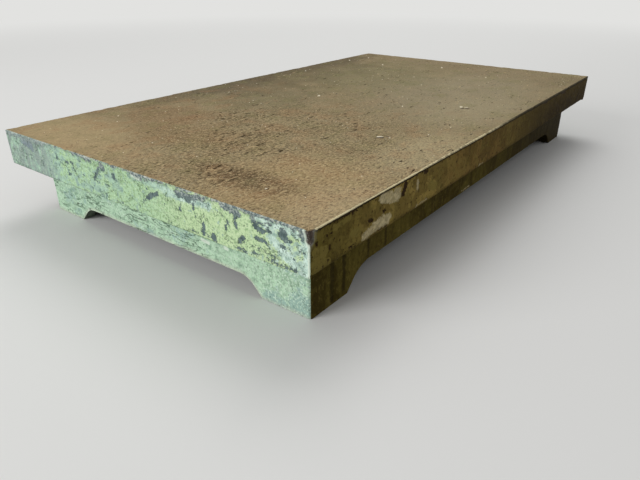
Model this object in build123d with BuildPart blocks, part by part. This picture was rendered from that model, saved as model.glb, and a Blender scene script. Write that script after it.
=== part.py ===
"""Cast-iron surface plate, used for marking out: one casting, stood on its four feet.

A thick top with a deep rim stands over a skirt that is set in all round. The skirt's lower edge is
arched between the corner feet, and the hollow underneath is stiffened by a grid of drafted ribs.

Millimetres, +Z up. X runs across the plate, Y along it, and the origin is on the floor under its
middle. The near corner of the photograph is the one at +X, -Y.
"""

import os

from build123d import *

# Overall size
PLATE_WIDTH = 400.0
PLATE_LENGTH = 690.0
PLATE_HEIGHT = 92.0

# Worked top and its rim
TOP_THICKNESS = 20.0
RIM_DEPTH = 36.5
RIM_CORNER_RADIUS = 1.6
RIM_LOWER_RADIUS = 1.2
ARRIS_RADIUS = 1.2

# Skirt under the rim
SKIRT_INSET_SIDE = 21.0
SKIRT_INSET_END = 26.5
SKIRT_WALL = 14.0
SKIRT_CORNER_RADIUS = 3.5
SKIRT_ROOT_RADIUS = 6.0

# Corner feet, and the arches between them
FOOT_LENGTH_END = 50.0
FOOT_LENGTH_SIDE = 48.5
ARCH_RISE_END = 16.0
ARCH_RISE_SIDE = 19.5
ARCH_FLANK_ANGLE = 46.0
CROWN_RADIUS_END = 22.0
CROWN_RADIUS_SIDE = 34.0
SOLE_EDGE_RADIUS = 1.0

# Hollow underneath
HOLLOW_CORNER_RADIUS = 20.0
CEILING_RADIUS = 5.0
DRAFT_ANGLE = 2.0

# Ribs across the hollow
CROSS_RIB_COUNT = 3
LONG_RIB_COUNT = 1
RIB_ROOT_THICKNESS = 13.0
RIB_LIFT = 32.0
RIB_EDGE_RADIUS = 3.0

# Corner knocked off at the near end, as three lengths along the edges that met there
CHIP_ACROSS = 6.0
CHIP_ALONG = 8.0
CHIP_DOWN = 15.0

# Levels and outlines that follow from those
RIM_UNDERSIDE = PLATE_HEIGHT - RIM_DEPTH
CEILING = PLATE_HEIGHT - TOP_THICKNESS
SKIRT_WIDTH = PLATE_WIDTH - 2 * SKIRT_INSET_SIDE
SKIRT_LENGTH = PLATE_LENGTH - 2 * SKIRT_INSET_END
HOLLOW_WIDTH = SKIRT_WIDTH - 2 * SKIRT_WALL
HOLLOW_LENGTH = SKIRT_LENGTH - 2 * SKIRT_WALL
RIB_DEPTH = CEILING - RIB_LIFT


def rim_slab():
    """Worked top with its deep rim, still solid through its whole depth."""
    with BuildPart() as slab:
        with BuildSketch(Plane.XY.offset(RIM_UNDERSIDE)):
            RectangleRounded(PLATE_WIDTH, PLATE_LENGTH, RIM_CORNER_RADIUS)
        extrude(amount=RIM_DEPTH)
        fillet(slab.edges().group_by(Axis.Z)[-1], ARRIS_RADIUS)
        fillet(slab.edges().group_by(Axis.Z)[0], RIM_LOWER_RADIUS)
    return slab.part


def skirt_block():
    """Block inside the skirt's outer faces, from the soles up into the rim slab."""
    with BuildPart() as block:
        with BuildSketch():
            RectangleRounded(SKIRT_WIDTH, SKIRT_LENGTH, SKIRT_CORNER_RADIUS)
        extrude(amount=CEILING)
    return block.part


def hollow_core():
    """Space under the top, drafted so that the sand core draws downwards."""
    with BuildPart() as core:
        with BuildSketch():
            RectangleRounded(HOLLOW_WIDTH, HOLLOW_LENGTH, HOLLOW_CORNER_RADIUS)
        extrude(amount=CEILING, taper=DRAFT_ANGLE)
    return core.part


def rib_places(count, span):
    """Middles of equally spaced ribs that divide a span into equal bays."""
    bay = span / (count + 1)
    return [(bay * (number + 1) - span / 2, RIB_LIFT + RIB_DEPTH / 2) for number in range(count)]


def cross_ribs():
    """Ribs that run across the plate, thinner at their lower edge, ending inside the skirt wall."""
    with BuildPart() as ribs:
        with BuildSketch(Plane.YZ) as profile:
            with Locations(*rib_places(CROSS_RIB_COUNT, HOLLOW_LENGTH)):
                Trapezoid(RIB_ROOT_THICKNESS, RIB_DEPTH, 90 - DRAFT_ANGLE, rotation=180)
            fillet(profile.vertices().group_by(Axis.Y)[0], RIB_EDGE_RADIUS)
        extrude(amount=(HOLLOW_WIDTH + SKIRT_WALL) / 2, both=True)
    return ribs.part


def long_ribs():
    """Ribs that run along the plate, with the same section as the cross ribs."""
    with BuildPart() as ribs:
        with BuildSketch(Plane.XZ) as profile:
            with Locations(*rib_places(LONG_RIB_COUNT, HOLLOW_WIDTH)):
                Trapezoid(RIB_ROOT_THICKNESS, RIB_DEPTH, 90 - DRAFT_ANGLE, rotation=180)
            fillet(profile.vertices().group_by(Axis.Y)[0], RIB_EDGE_RADIUS)
        extrude(amount=(HOLLOW_LENGTH + SKIRT_WALL) / 2, both=True)
    return ribs.part


def arch_cutter(plane, span, rise, crown, reach):
    """Arched gap between two feet: sloped flanks that round off into a level crown."""
    with BuildPart() as arch:
        with BuildSketch(plane) as outline:
            Trapezoid(span, rise, ARCH_FLANK_ANGLE, align=(Align.CENTER, Align.MIN))
            fillet(outline.vertices().group_by(Axis.Y)[-1], crown)
        extrude(amount=reach, both=True)
    return arch.part


def cast_plate(slab, block, core, rib_sets, arches):
    """Join the forms into one casting, then round its roots, soles and ceiling."""
    with BuildPart() as plate:
        add(slab)
        add(block)
        roots = plate.edges().filter_by_position(Axis.Z, RIM_UNDERSIDE, RIM_UNDERSIDE)
        roots = roots.filter_by_position(Axis.X, -SKIRT_WIDTH / 2, SKIRT_WIDTH / 2)
        fillet(roots.filter_by_position(Axis.Y, -SKIRT_LENGTH / 2, SKIRT_LENGTH / 2), SKIRT_ROOT_RADIUS)
        add(core, mode=Mode.SUBTRACT)
        for ribs in rib_sets:
            add(ribs)
        fillet(plate.edges().filter_by_position(Axis.Z, CEILING, CEILING), CEILING_RADIUS)
        for arch in arches:
            add(arch, mode=Mode.SUBTRACT)
        fillet(plate.edges().group_by(Axis.Z)[0], SOLE_EDGE_RADIUS)
        corner = Vector(PLATE_WIDTH / 2, -PLATE_LENGTH / 2, PLATE_HEIGHT)
        facing = Vector(1 / CHIP_ACROSS, -1 / CHIP_ALONG, 1 / CHIP_DOWN)
        split(bisect_by=Plane(corner - Vector(CHIP_ACROSS, 0, 0), z_dir=facing), keep=Keep.BOTTOM)
    return plate


end_gap = SKIRT_WIDTH - 2 * FOOT_LENGTH_END
side_gap = SKIRT_LENGTH - 2 * FOOT_LENGTH_SIDE
end_arch = arch_cutter(Plane.XZ, end_gap, ARCH_RISE_END, CROWN_RADIUS_END, PLATE_LENGTH / 2)
side_arch = arch_cutter(Plane.YZ, side_gap, ARCH_RISE_SIDE, CROWN_RADIUS_SIDE, PLATE_WIDTH / 2)
surface_plate = cast_plate(
    rim_slab(), skirt_block(), hollow_core(), (cross_ribs(), long_ribs()), (end_arch, side_arch)
)
surface_plate.part.label = "surface_plate"

os.makedirs("parts", exist_ok=True)
export_step(surface_plate.part, "parts/surface_plate.step")
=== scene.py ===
"""Looks of a cast-iron surface plate with a worn top, chipped green paint and an oily long side.

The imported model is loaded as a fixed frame. The casting's skin, its ribs and the litter on its top
are built round it in the same frame, in metres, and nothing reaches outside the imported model's box.
"""

import logging
import math
from dataclasses import dataclass, field
from enum import Enum, auto
from typing import Any

import bpy
import numpy as np
from mathutils import Euler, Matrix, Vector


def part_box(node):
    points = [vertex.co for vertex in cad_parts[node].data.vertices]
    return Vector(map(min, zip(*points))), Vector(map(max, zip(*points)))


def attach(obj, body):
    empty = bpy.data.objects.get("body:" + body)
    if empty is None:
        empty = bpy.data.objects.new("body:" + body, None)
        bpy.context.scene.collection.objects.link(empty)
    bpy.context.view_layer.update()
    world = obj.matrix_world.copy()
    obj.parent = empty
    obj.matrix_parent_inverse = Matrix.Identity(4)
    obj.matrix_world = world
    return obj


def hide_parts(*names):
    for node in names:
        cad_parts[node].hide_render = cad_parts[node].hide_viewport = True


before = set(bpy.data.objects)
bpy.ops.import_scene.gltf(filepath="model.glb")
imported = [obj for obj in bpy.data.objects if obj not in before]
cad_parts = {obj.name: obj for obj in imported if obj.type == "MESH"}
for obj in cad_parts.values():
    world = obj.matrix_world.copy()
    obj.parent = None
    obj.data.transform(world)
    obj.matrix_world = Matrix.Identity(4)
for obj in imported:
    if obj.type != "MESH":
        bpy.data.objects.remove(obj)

LOG = logging.getLogger("surface_plate_scene")
MM = 0.001
NODE = "surface_plate"
BODY = "root"
IMAGE_WIDTH = 640

# A colour as seen on a screen, from 0 to 255
Rgb = tuple[int, int, int]
# What a socket takes: a number, a vector, a colour or a wire
Value = Any
# One value for each side, in the order of Side
BySide = tuple[float, float, float, float]


def linear(rgb: Rgb) -> tuple[float, float, float, float]:
    """Turns a colour as it is seen on a screen into the light values that a shader takes.

    Args:
        rgb: Red, green and blue from 0 to 255, on the sRGB curve.

    Returns:
        Red, green, blue and an alpha of 1, as linear light.
    """
    parts = [c / 255 for c in rgb]
    return (*[c / 12.92 if c <= 0.04045 else ((c + 0.055) / 1.055) ** 2.4 for c in parts], 1.0)


def stand(name: str, data: bpy.types.ID) -> bpy.types.Object:
    """Puts a new object into the scene, at the origin and unturned.

    Args:
        name: Its name.
        data: Its mesh, lamp or camera.

    Returns:
        The object.
    """
    thing = bpy.data.objects.new(name, data)
    bpy.context.scene.collection.objects.link(thing)
    return thing


class Wire:
    """An output socket that can stand in a sum: each operator on it adds a Math node."""

    def __init__(self, desk: "Desk", socket: bpy.types.NodeSocket) -> None:
        """Keeps the socket and the desk that its tree is built on."""
        self.desk = desk
        self.socket = socket

    def out(self, name: str) -> "Wire":
        """Gives another output of the same node, by its name."""
        return Wire(self.desk, self.socket.node.outputs[name])

    def _math(self, operation: str, first: Value, second: Value) -> "Wire":
        """Adds the Math node of one operator."""
        return self.desk.add("ShaderNodeMath", {"operation": operation}, {0: first, 1: second})

    def __add__(self, other: Value) -> "Wire":
        """Adds a number or a wire."""
        return self._math("ADD", self, other)

    def __sub__(self, other: Value) -> "Wire":
        """Takes a number or a wire away."""
        return self._math("SUBTRACT", self, other)

    def __rsub__(self, other: Value) -> "Wire":
        """Takes this wire away from a number."""
        return self._math("SUBTRACT", other, self)

    def __mul__(self, other: Value) -> "Wire":
        """Multiplies by a number or a wire."""
        return self._math("MULTIPLY", self, other)

    def __abs__(self) -> "Wire":
        """Drops the sign."""
        return self._math("ABSOLUTE", self, 0.0)

    __radd__ = __add__
    __rmul__ = __mul__


class Desk:
    """Adds nodes to one shader or geometry tree."""

    def __init__(self, tree: bpy.types.NodeTree) -> None:
        """Starts from an empty tree."""
        self.tree = tree
        tree.nodes.clear()

    def plug(self, socket: bpy.types.NodeSocket, value: Value) -> None:
        """Feeds a socket from a wire, or sets it.

        Args:
            socket: The input.
            value: A wire, or what its own value becomes.
        """
        if isinstance(value, Wire):
            self.tree.links.new(value.socket, socket)
        else:
            socket.default_value = value

    def add(
        self, kind: str, settings: dict[str, Value] | None = None,
        inputs: dict[str | int, Value] | None = None, output: str | int = 0,
    ) -> Wire:
        """Adds a node, sets it up and fills its sockets.

        Args:
            kind: The node's type.
            settings: Its settings by name, set before the sockets.
            inputs: Numbers, colours or wires, by a socket's place, name or identifier.
            output: Place, name or identifier of the output to give back.

        Returns:
            The chosen output.
        """
        node = self.tree.nodes.new(kind)
        for name, value in (settings or {}).items():
            setattr(node, name, value)
        for key, value in (inputs or {}).items():
            self.plug(self._find(node.inputs, key), value)
        return Wire(self, self._find(node.outputs, output) if len(node.outputs) else None)

    @staticmethod
    def _find(sockets: bpy.types.bpy_prop_collection, key: str | int) -> bpy.types.NodeSocket:
        """Finds a socket that is in use.

        Args:
            sockets: A node's inputs or outputs.
            key: Its place, or its identifier or else its name.

        Returns:
            The socket.
        """
        if isinstance(key, int):
            return sockets[key]
        exact = [s for s in sockets if s.identifier == key and s.enabled]
        return (exact or [s for s in sockets if s.name == key and s.enabled])[0]

    def vector(self, operation: str, first: Value, second: Value = (0.0, 0.0, 0.0)) -> Wire:
        """Adds a Vector Math node, and gives a number if it measures a length."""
        output = "Value" if operation == "LENGTH" else "Vector"
        return self.add("ShaderNodeVectorMath", {"operation": operation}, {0: first, 1: second}, output)

    def greater(self, first: Value, second: Value) -> Wire:
        """Gives the larger of two values at each point."""
        return self.add("ShaderNodeMath", {"operation": "MAXIMUM"}, {0: first, 1: second})

    def step(self, value: Value, start: float, end: float) -> Wire:
        """Goes smoothly from 0 to 1.

        Args:
            value: What it follows.
            start: Where it is 0.
            end: Where it is 1, which may be the lower of the two.

        Returns:
            A value from 0 to 1.
        """
        inputs = {"Value": value, "From Min": min(start, end), "From Max": max(start, end)}
        rise = self.add("ShaderNodeMapRange", {"interpolation_type": "SMOOTHSTEP"}, inputs)
        return rise if end > start else 1 - rise

    def mix(self, factor: Value, first: Value, second: Value) -> Wire:
        """Blends two colours.

        Args:
            factor: 0 gives the first colour and 1 the second.
            first: Rgb as seen, or a colour wire.
            second: Rgb as seen, or a colour wire.

        Returns:
            The blended colour.
        """
        first, second = [c if isinstance(c, Wire) else linear(c) for c in (first, second)]
        inputs = {"Factor_Float": factor, "A_Color": first, "B_Color": second}
        return self.add("ShaderNodeMix", {"data_type": "RGBA"}, inputs, "Result_Color")

    def layered(self, colour: Value, *coats: tuple[Value, Value]) -> Wire:
        """Lays coats over a colour, one after the other.

        Args:
            colour: What lies underneath.
            coats: For each coat, the share of it that shows and its colour.

        Returns:
            The colour with every coat on.
        """
        for share, coat in coats:
            colour = self.mix(share, colour, coat)
        return colour

    def seen(self) -> Wire:
        """Gives 1 to the camera and in reflections, and 0 to the light that bounces about."""
        path = self.add("ShaderNodeLightPath", output="Is Camera Ray")
        return self.greater(path, self.greater(path.out("Is Glossy Ray"), path.out("Is Transmission Ray")))


class Shading(Desk):
    """A desk for one material, with the surface patterns that the finishes share."""

    def __init__(self, name: str) -> None:
        """Makes the material and reads the place on the object in millimetres.

        Args:
            name: The material's name.
        """
        self.material = bpy.data.materials.new(name)
        self.material.use_nodes = True
        super().__init__(self.material.node_tree)
        place = self.add("ShaderNodeTexCoord", output="Object")
        self.place = self.vector("MULTIPLY", place, (1 / MM, 1 / MM, 1 / MM))
        self.x = self.add("ShaderNodeSeparateXYZ", inputs={0: self.place}, output="X")
        self.y, self.z = self.x.out("Y"), self.x.out("Z")

    def grain(
        self, size: float, detail: float = 2.0, roughness: float = 0.5,
        stretch: tuple[float, float, float] = (1.0, 1.0, 1.0), shift: float = 0.0, warp: float = 0.0,
    ) -> Wire:
        """Cloudy noise around 0.5.

        Args:
            size: Size of its blotches in millimetres.
            detail: Octaves added to the first.
            roughness: How much the finer octaves count.
            stretch: How much longer the blotches are along each axis.
            shift: Moves the pattern, so that two grains of one size differ.
            warp: Distortion.

        Returns:
            The noise.
        """
        where = self.vector("MULTIPLY", self.place, tuple(1.0 / (size * s) for s in stretch))
        if shift:
            where = self.vector("ADD", where, (shift, shift * 0.7, -shift))
        inputs = {"Vector": where, "Scale": 1.0, "Detail": detail, "Roughness": roughness, "Distortion": warp}
        return self.add("ShaderNodeTexNoise", None, inputs)

    def spots(self, size: float, radius: float, soft: float = 0.25, shift: float = 0.0) -> Wire:
        """Small round spots, one in each cell.

        Args:
            size: Spacing of the cells in millimetres.
            radius: Radius of a spot as a share of the cell.
            soft: Width of the spot's soft edge as a share of its radius.
            shift: Moves the pattern.

        Returns:
            1 inside the spots.
        """
        where = self.vector("ADD", self.place, (shift, -shift, shift * 0.3))
        reach = self.add("ShaderNodeTexVoronoi", None, {"Vector": where, "Scale": 1.0 / size}, "Distance")
        return self.step(reach, radius * (1 + soft), radius * (1 - soft))

    def field(self, name: str) -> Wire:
        """Reads one of the mesh's own values."""
        return self.add("ShaderNodeAttribute", {"attribute_name": name}, output="Fac")

    def finish(
        self, colour: Wire, roughness: Value, height: Wire, depth: float, specular: float = 0.5,
    ) -> bpy.types.Material:
        """Joins colour, roughness and relief to the surface shader.

        Args:
            colour: Base colour.
            roughness: A number or a wire.
            height: Relief in millimetres.
            depth: Share of the relief that shows, where 1 is its true depth.
            specular: Strength of the plain reflection, the same all over.

        Returns:
            The finished material.
        """
        normal = self.add("ShaderNodeBump", None, {"Strength": depth, "Distance": MM, "Height": height})
        inputs = {
            "Base Color": colour, "Roughness": roughness, "Specular IOR Level": specular, "Normal": normal,
        }
        surface = self.add("ShaderNodeBsdfPrincipled", None, inputs)
        self.add("ShaderNodeOutputMaterial", None, {"Surface": surface})
        return self.material


def smooth_noise(points: np.ndarray, cell: float, seed: int) -> np.ndarray:
    """Smooth random values over space.

    Args:
        points: Places, in metres, with x, y and z last.
        cell: Size of a blotch in metres.
        seed: Picks the pattern.

    Returns:
        One value from -1 to 1 for each point.
    """
    cells, keeps_positive = 32, 64.0
    table = np.random.default_rng(seed).uniform(-1, 1, (cells, cells, cells))
    scaled = points / cell + keeps_positive
    base = np.floor(scaled).astype(int)
    share = scaled - base
    share = share * share * (3 - 2 * share)
    total = np.zeros(points.shape[:-1])
    for corner in np.ndindex(2, 2, 2):
        index = (base + corner) % cells
        weight = np.prod(np.where(np.array(corner) == 1, share, 1 - share), axis=-1)
        total += weight * table[index[..., 0], index[..., 1], index[..., 2]]
    return total


def ease(value: np.ndarray, start: float, end: float) -> np.ndarray:
    """Goes smoothly from 0 at start to 1 at end."""
    share = np.clip((value - start) / (end - start), 0, 1)
    return share * share * (3 - 2 * share)


def quarter(radius: float, count: int) -> list[tuple[float, float]]:
    """Places on a quarter round between two lines at a right angle.

    Args:
        radius: Its radius.
        count: Number of places, with both ends.

    Returns:
        Distances of each place from the line that the round ends on, and from the one that it starts on.
    """
    turns = np.linspace(0, math.pi / 2, count)
    return [(radius * (1 - math.sin(turn)), radius * (1 - math.cos(turn))) for turn in turns]


class Side(Enum):
    """Side of the plate that a column of its skin stands on, in order round it seen from above."""

    NEAR_END = 0
    OILY_LONG = 1
    FAR_END = 2
    OTHER_LONG = 3


class Wear(Enum):
    """What a mark on the paint shows."""

    IRON = auto()
    UNDERCOAT = auto()
    PALE = auto()
    STAIN = auto()


class Zone(Enum):
    """Part of the skin that a ring belongs to."""

    TOP = auto()
    ARRIS = auto()
    RIM = auto()
    LEDGE = auto()
    SKIRT = auto()
    SOLE = auto()
    HOLLOW = auto()


# A stroke on a side: along and height of both ends, and its width, in millimetres
Mark = tuple[float, float, float, float, float]

NEAR_END_MARKS: dict[Wear, tuple[Mark, ...]] = {
    Wear.IRON: (
        (118, 89.5, 136, 86.5, 5), (149, 88, 151, 82, 3.8), (151, 82, 158, 79.8, 4.4),
        (158, 80, 165, 81.5, 3), (153, 84.5, 166, 87, 1.8), (151.5, 72.8, 161, 72.3, 2.8),
        (161, 72.3, 163.5, 70, 1.5), (176.5, 84, 177, 81.4, 7), (177.5, 80, 178.6, 78.4, 3),
        (179.5, 79.8, 184, 79.4, 2.2), (173.6, 73.4, 177.6, 72.8, 3), (193, 88, 193.6, 85, 5),
        (186, 89, 186, 88.8, 1.8), (191, 74.6, 195, 74.3, 1), (186, 66.5, 186.2, 65.5, 1.4),
        (187, 61.3, 187.2, 60.6, 1.2), (132, 82.5, 132.4, 74.5, 2.4), (118.5, 79.3, 118.5, 78.7, 1.8),
        (124, 77.8, 123.8, 75.6, 2.5), (122, 73.3, 121.4, 70.8, 2.4), (139, 69.4, 135, 64.6, 3.4),
        (140, 65, 142, 65, 1), (147, 64.7, 149.5, 64.6, 1), (153, 64.3, 155, 64.2, 1),
        (160, 64, 162, 63.8, 1), (165.6, 63.4, 168.4, 63, 2), (108, 60.5, 108.2, 59.5, 5.4),
        (108, 60, 101, 59.2, 1.6), (130, 59, 141, 58.8, 2.6), (148, 60.6, 151, 60, 1.4),
        (154, 60, 157, 59.6, 1.6), (160, 59.8, 162, 59.4, 1.6), (165.6, 59.4, 166.2, 59.2, 2.6),
        (170, 59, 170.6, 58.8, 2.8), (174, 59.3, 174.4, 59, 2.4), (178, 58.7, 178.8, 58.6, 2.8),
        (182.4, 59, 183, 58.6, 2.6), (186.6, 58.4, 187.2, 58.3, 2.6), (158, 59.2, 188, 58.6, 0.9),
        (22, 88.5, 25, 87.5, 3.4), (30, 72, 37, 77, 3.8),
        (37, 77, 44, 79.5, 3.4), (30, 72, 24, 68, 1.4), (18.5, 64.3, 18.5, 63.6, 1.8),
        (70, 75, 72, 72.5, 1.4), (69, 86.5, 84, 87, 5.6), (84, 87, 100, 89, 4.4),
        (81, 84.6, 82, 83.5, 5), (87, 82, 87.2, 77.5, 2.4), (97.5, 75, 97.5, 73.2, 1.8),
        (97, 67, 96, 59.5, 3.6), (89, 72.8, 89, 72.2, 1.4), (54.5, 59.2, 57.5, 59, 1.7),
        (83, 59, 90, 59, 1.3), (-31, 87.4, -29.4, 86.2, 7), (-36, 84, -45, 72.5, 3),
        (-42, 71, -38, 71, 1.2), (-23, 83.5, -23, 79.5, 1.8), (-29, 71.2, -23, 70.8, 1.1),
        (-14, 82.2, -14, 80, 4.4), (-48, 88, -46, 88, 2), (-59, 89.5, -55, 89.5, 1.2),
        (-90, 79.6, -86, 79.3, 2.4), (-81, 80.2, -78, 79.8, 2.5), (-88, 68, -84, 68.2, 2.4),
        (-78, 76, -71, 67, 0.9), (-92, 62.6, -88, 62.4, 1.6), (-50.5, 63.3, -50.5, 60.7, 1.7),
        (-66, 66, -62, 66, 0.9), (-15, 59, -5, 59, 1.1), (-168, 86, -152, 84, 9),
        (-156, 83, -150, 80, 6), (-190, 90, -190, 88, 3.6),
        (-122, 65.3, -122, 64.7, 1.6), (-104, 83, -104, 79.4, 2.4), (-134, 84.3, -134, 83.7, 1.8),
    ),
    Wear.UNDERCOAT: (
        (166, 78, 186, 63, 9), (150, 88.5, 198, 86, 6), (196, 84, 197, 60, 6), (158, 84, 168, 84, 5),
        (-20, 80, -10, 74, 9), (10, 88, 60, 86, 6), (-30, 66, -60, 62, 6), (60, 84, 105, 85, 7),
    ),
    Wear.PALE: (
        (61, 33.4, 69, 32.4, 3.4), (88, 34.2, 92, 34, 2.4), (-112, 35.6, -108, 35.2, 0.8),
        (-75, 33, -71, 33, 0.8), (12, 88, 22, 87, 2), (198.6, 57.5, 198.6, 79, 1.6),
    ),
    Wear.STAIN: (
        (13, 27, 29, 28.2, 0.7), (29, 28.2, 45, 27.2, 0.7), (126, 30, 126, 29.8, 1.2),
        (122, 31, 122, 30.8, 1), (-134, 17.4, -134, 16.8, 2.4), (-122, 14, -122, 13.8, 1.3),
        (-112, 17, -112, 16.8, 1.3), (-143, 27, -143, 26.8, 1.2),
    ),
}

OILY_LONG_MARKS: dict[Wear, tuple[Mark, ...]] = {
    Wear.IRON: (
        (-338, 80.4, -338, 79.4, 3), (-327, 82.2, -327, 81.6, 1.9), (-322, 82.2, -322, 81.8, 1.8),
        (-318, 76.4, -318, 75.6, 1.8), (-323, 72, -323, 70.4, 2.4), (-325, 62.3, -325, 61.7, 1.9),
        (-331, 60.2, -331, 59.8, 1.5), (-300, 61.6, -292, 60.8, 2.2), (-305, 60.2, -304, 60, 1.3),
        (-274, 73.5, -270, 72.5, 3.6), (-254, 74.5, -252, 73.5, 2.8), (-285, 67.2, -285, 66.8, 1.7),
        (-261, 60.8, -255, 60.4, 1.6), (-250, 60.4, -249, 60, 2), (-220, 87, -224, 79, 6),
        (-225, 77.3, -225, 76.7, 1.7), (-190, 88.6, -184, 87, 3.8), (-203, 86.2, -203, 85.8, 1.5),
        (-200, 67.6, -200, 67.2, 1.3), (-97, 89.4, -89, 88.8, 2.2),
    ),
    Wear.UNDERCOAT: (
        (-341, 64, -328, 60, 11), (-339, 73, -329, 71, 9), (-318, 84, -300, 86, 5),
        (-296, 72, -288, 70, 6), (-176, 72, -166, 68, 8),
    ),
    Wear.PALE: (
        (-280, 63, -262, 66, 7), (-266, 66, -246, 65.5, 9), (-254, 70, -250, 68, 4),
        (-256, 86, -244, 84, 9), (-246, 82, -232, 80, 8), (-236, 86, -230, 84, 5),
        (-200, 83, -200, 76.5, 3.4), (-205, 60.2, -180, 60.2, 0.7),
        (-65, 60.2, -55, 60.2, 0.8), (-50, 21.5, -30, 22, 1.1),
    ),
    Wear.STAIN: (
        (-291, 38, -291, 5, 4.8), (-275, 38, -275, 6, 4), (-239, 39, -239, 22, 3),
        # The last two strokes are painted shade: dark lines down the near corner's edges of the rim and the
        # skirt
        (-211, 39, -211, 22, 3), (-344.6, 57, -344.6, 76, 1.1), (-318, 2, -318, 50, 1.1),
    ),
}


def random_marks(seed: int, half_length: float, count: int) -> dict[Wear, tuple[Mark, ...]]:
    """Strokes for a side that the photograph doesn't show, like those on the sides that it does.

    Args:
        seed: Picks the strokes.
        half_length: Half the side's length in millimetres.
        count: Number of strokes of bare iron; the other kinds get a share of that.

    Returns:
        The strokes of each kind.
    """
    rng = np.random.default_rng(seed)
    made: dict[Wear, tuple[Mark, ...]] = {}
    shares = {Wear.IRON: 1.0, Wear.UNDERCOAT: 0.15, Wear.PALE: 0.15, Wear.STAIN: 0.2}
    heights = {Wear.IRON: (58.5, 90), Wear.UNDERCOAT: (62, 88), Wear.PALE: (30, 88), Wear.STAIN: (14, 44)}
    widths = {Wear.IRON: (1, 4.5), Wear.UNDERCOAT: (5, 11), Wear.PALE: (0.8, 3), Wear.STAIN: (0.8, 4)}
    usual_run, usual_slope = 5.0, 3.0
    for wear, share in shares.items():
        strokes = []
        for _ in range(int(count * share)):
            along = rng.uniform(-half_length, half_length)
            low = rng.uniform(*heights[wear])
            run, slope = rng.exponential(usual_run), rng.normal(0, usual_slope)
            strokes.append((along, low, along + run, low + slope, rng.uniform(*widths[wear])))
        made[wear] = tuple(strokes)
    return made


@dataclass(frozen=True)
class PlateSizes:
    """Sizes of the casting in metres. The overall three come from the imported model."""

    width: float
    length: float
    height: float
    rim_depth: float = 36.5 * MM
    rim_corner: float = 1.6 * MM
    rim_lower: float = 1.1 * MM
    arris: float = 1.2 * MM
    inset_side: float = 21 * MM
    inset_end: float = 26.5 * MM
    skirt_wall: float = 14 * MM
    skirt_corner: float = 3.5 * MM
    skirt_root: float = 6 * MM
    foot_end: float = 50 * MM
    foot_side: float = 48.5 * MM
    rise_end: float = 16 * MM
    rise_side: float = 19.5 * MM
    flank_angle: float = math.radians(46)
    crown_end: float = 22 * MM
    crown_side: float = 34 * MM
    sole_edge: float = 0.9 * MM
    ceiling: float = 72 * MM
    hollow_corner: float = 20 * MM
    ceiling_edge: float = 5 * MM
    draft: float = math.radians(2)
    litter: float = 0.4 * MM

    @classmethod
    def from_frame(cls) -> "PlateSizes":
        """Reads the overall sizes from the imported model."""
        low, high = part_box(NODE)
        return cls(high.x - low.x, high.y - low.y, high.z - low.z)

    @property
    def hollow(self) -> tuple[float, float]:
        """Width and length of the hollow between the skirt's walls."""
        side, end = self.inset_side + self.skirt_wall, self.inset_end + self.skirt_wall
        return self.width - 2 * side, self.length - 2 * end

    def arch_height(self, side: Side, along: np.ndarray) -> np.ndarray:
        """Height of the skirt's lower edge.

        Args:
            side: The side.
            along: Places along it, from its middle.

        Returns:
            0 on the feet, and the arch's height between them.
        """
        short = side in (Side.NEAR_END, Side.FAR_END)
        half = self.width / 2 - self.inset_side if short else self.length / 2 - self.inset_end
        half -= self.foot_end if short else self.foot_side
        rise = self.rise_end if short else self.rise_side
        crown = self.crown_end if short else self.crown_side
        tangent = crown * math.tan(self.flank_angle / 2)
        inward = np.clip(half - np.abs(along), 0, None)
        to_crown = rise / math.tan(self.flank_angle) + tangent
        slope = inward * math.tan(self.flank_angle)
        turn = np.sqrt(np.clip(crown**2 - (to_crown - inward) ** 2, 0, None)) + rise - crown
        start = to_crown - crown * math.sin(self.flank_angle)
        height = np.where(inward < start, slope, np.where(inward < to_crown, turn, rise))
        return np.where(inward > 0, height, 0.0)


@dataclass(frozen=True)
class Ring:
    """One ring round the casting: its insets from the rim, corner radius, height and share of the arch."""

    inset_side: float
    inset_end: float
    corner: float
    height: float
    zone: Zone
    follow: float = 0.0


@dataclass(frozen=True)
class Columns:
    """Where the skin's columns stand on every ring, close on the sides that show most."""

    level_end: float = 140 * MM
    level_side: float = 280 * MM
    counts: tuple[int, int, int, int] = (200, 280, 100, 190)
    corner_straight: tuple[int, int, int, int] = (44, 24, 18, 34)
    corner_turn: int = 12
    crowding: float = 1.4
    normals: tuple[tuple[int, int], ...] = ((0, -1), (1, 0), (0, 1), (-1, 0))

    def walk(self, half_x: float, half_y: float, corner: float) -> tuple[np.ndarray, np.ndarray]:
        """Places the columns on a rectangle with rounded corners.

        Args:
            half_x: Half its width.
            half_y: Half its length.
            corner: Radius of its corners.

        Returns:
            The columns' x and y, and the number of the side that each is on.
        """
        places, sides = [], []
        for k in range(4):
            out = np.array(self.normals[k], float)
            ahead = np.array(self.normals[(k + 1) % 4], float)
            reach, turn_at = (half_y, half_x) if k % 2 == 0 else (half_x, half_y)
            level, next_level = (
                (self.level_end, self.level_side) if k % 2 == 0 else (self.level_side, self.level_end)
            )
            straight = self.corner_straight[k]
            run = np.linspace(-level, level, self.counts[k] + 1)
            spread = 1 - np.linspace(1, 0, straight + 1) ** self.crowding
            before = level + (turn_at - corner - level) * spread[1:]
            first = np.concatenate([run, before])[:, None] * ahead + out * reach
            angle = np.linspace(0, math.pi / 2, self.corner_turn + 1)[1:, None]
            centre = out * (reach - corner) + ahead * (turn_at - corner)
            turn = centre + corner * (np.cos(angle) * out + np.sin(angle) * ahead)
            after = next_level + (reach - corner - next_level) * spread[-2:0:-1]
            last = after[:, None] * out + ahead * turn_at
            places.append(np.concatenate([first, turn, last]))
            half_turn = self.corner_turn // 2
            sides += [k] * (len(first) + half_turn)
            sides += [(k + 1) % 4] * (len(turn) - half_turn + len(last))
        return np.concatenate(places), np.array(sides)


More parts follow.
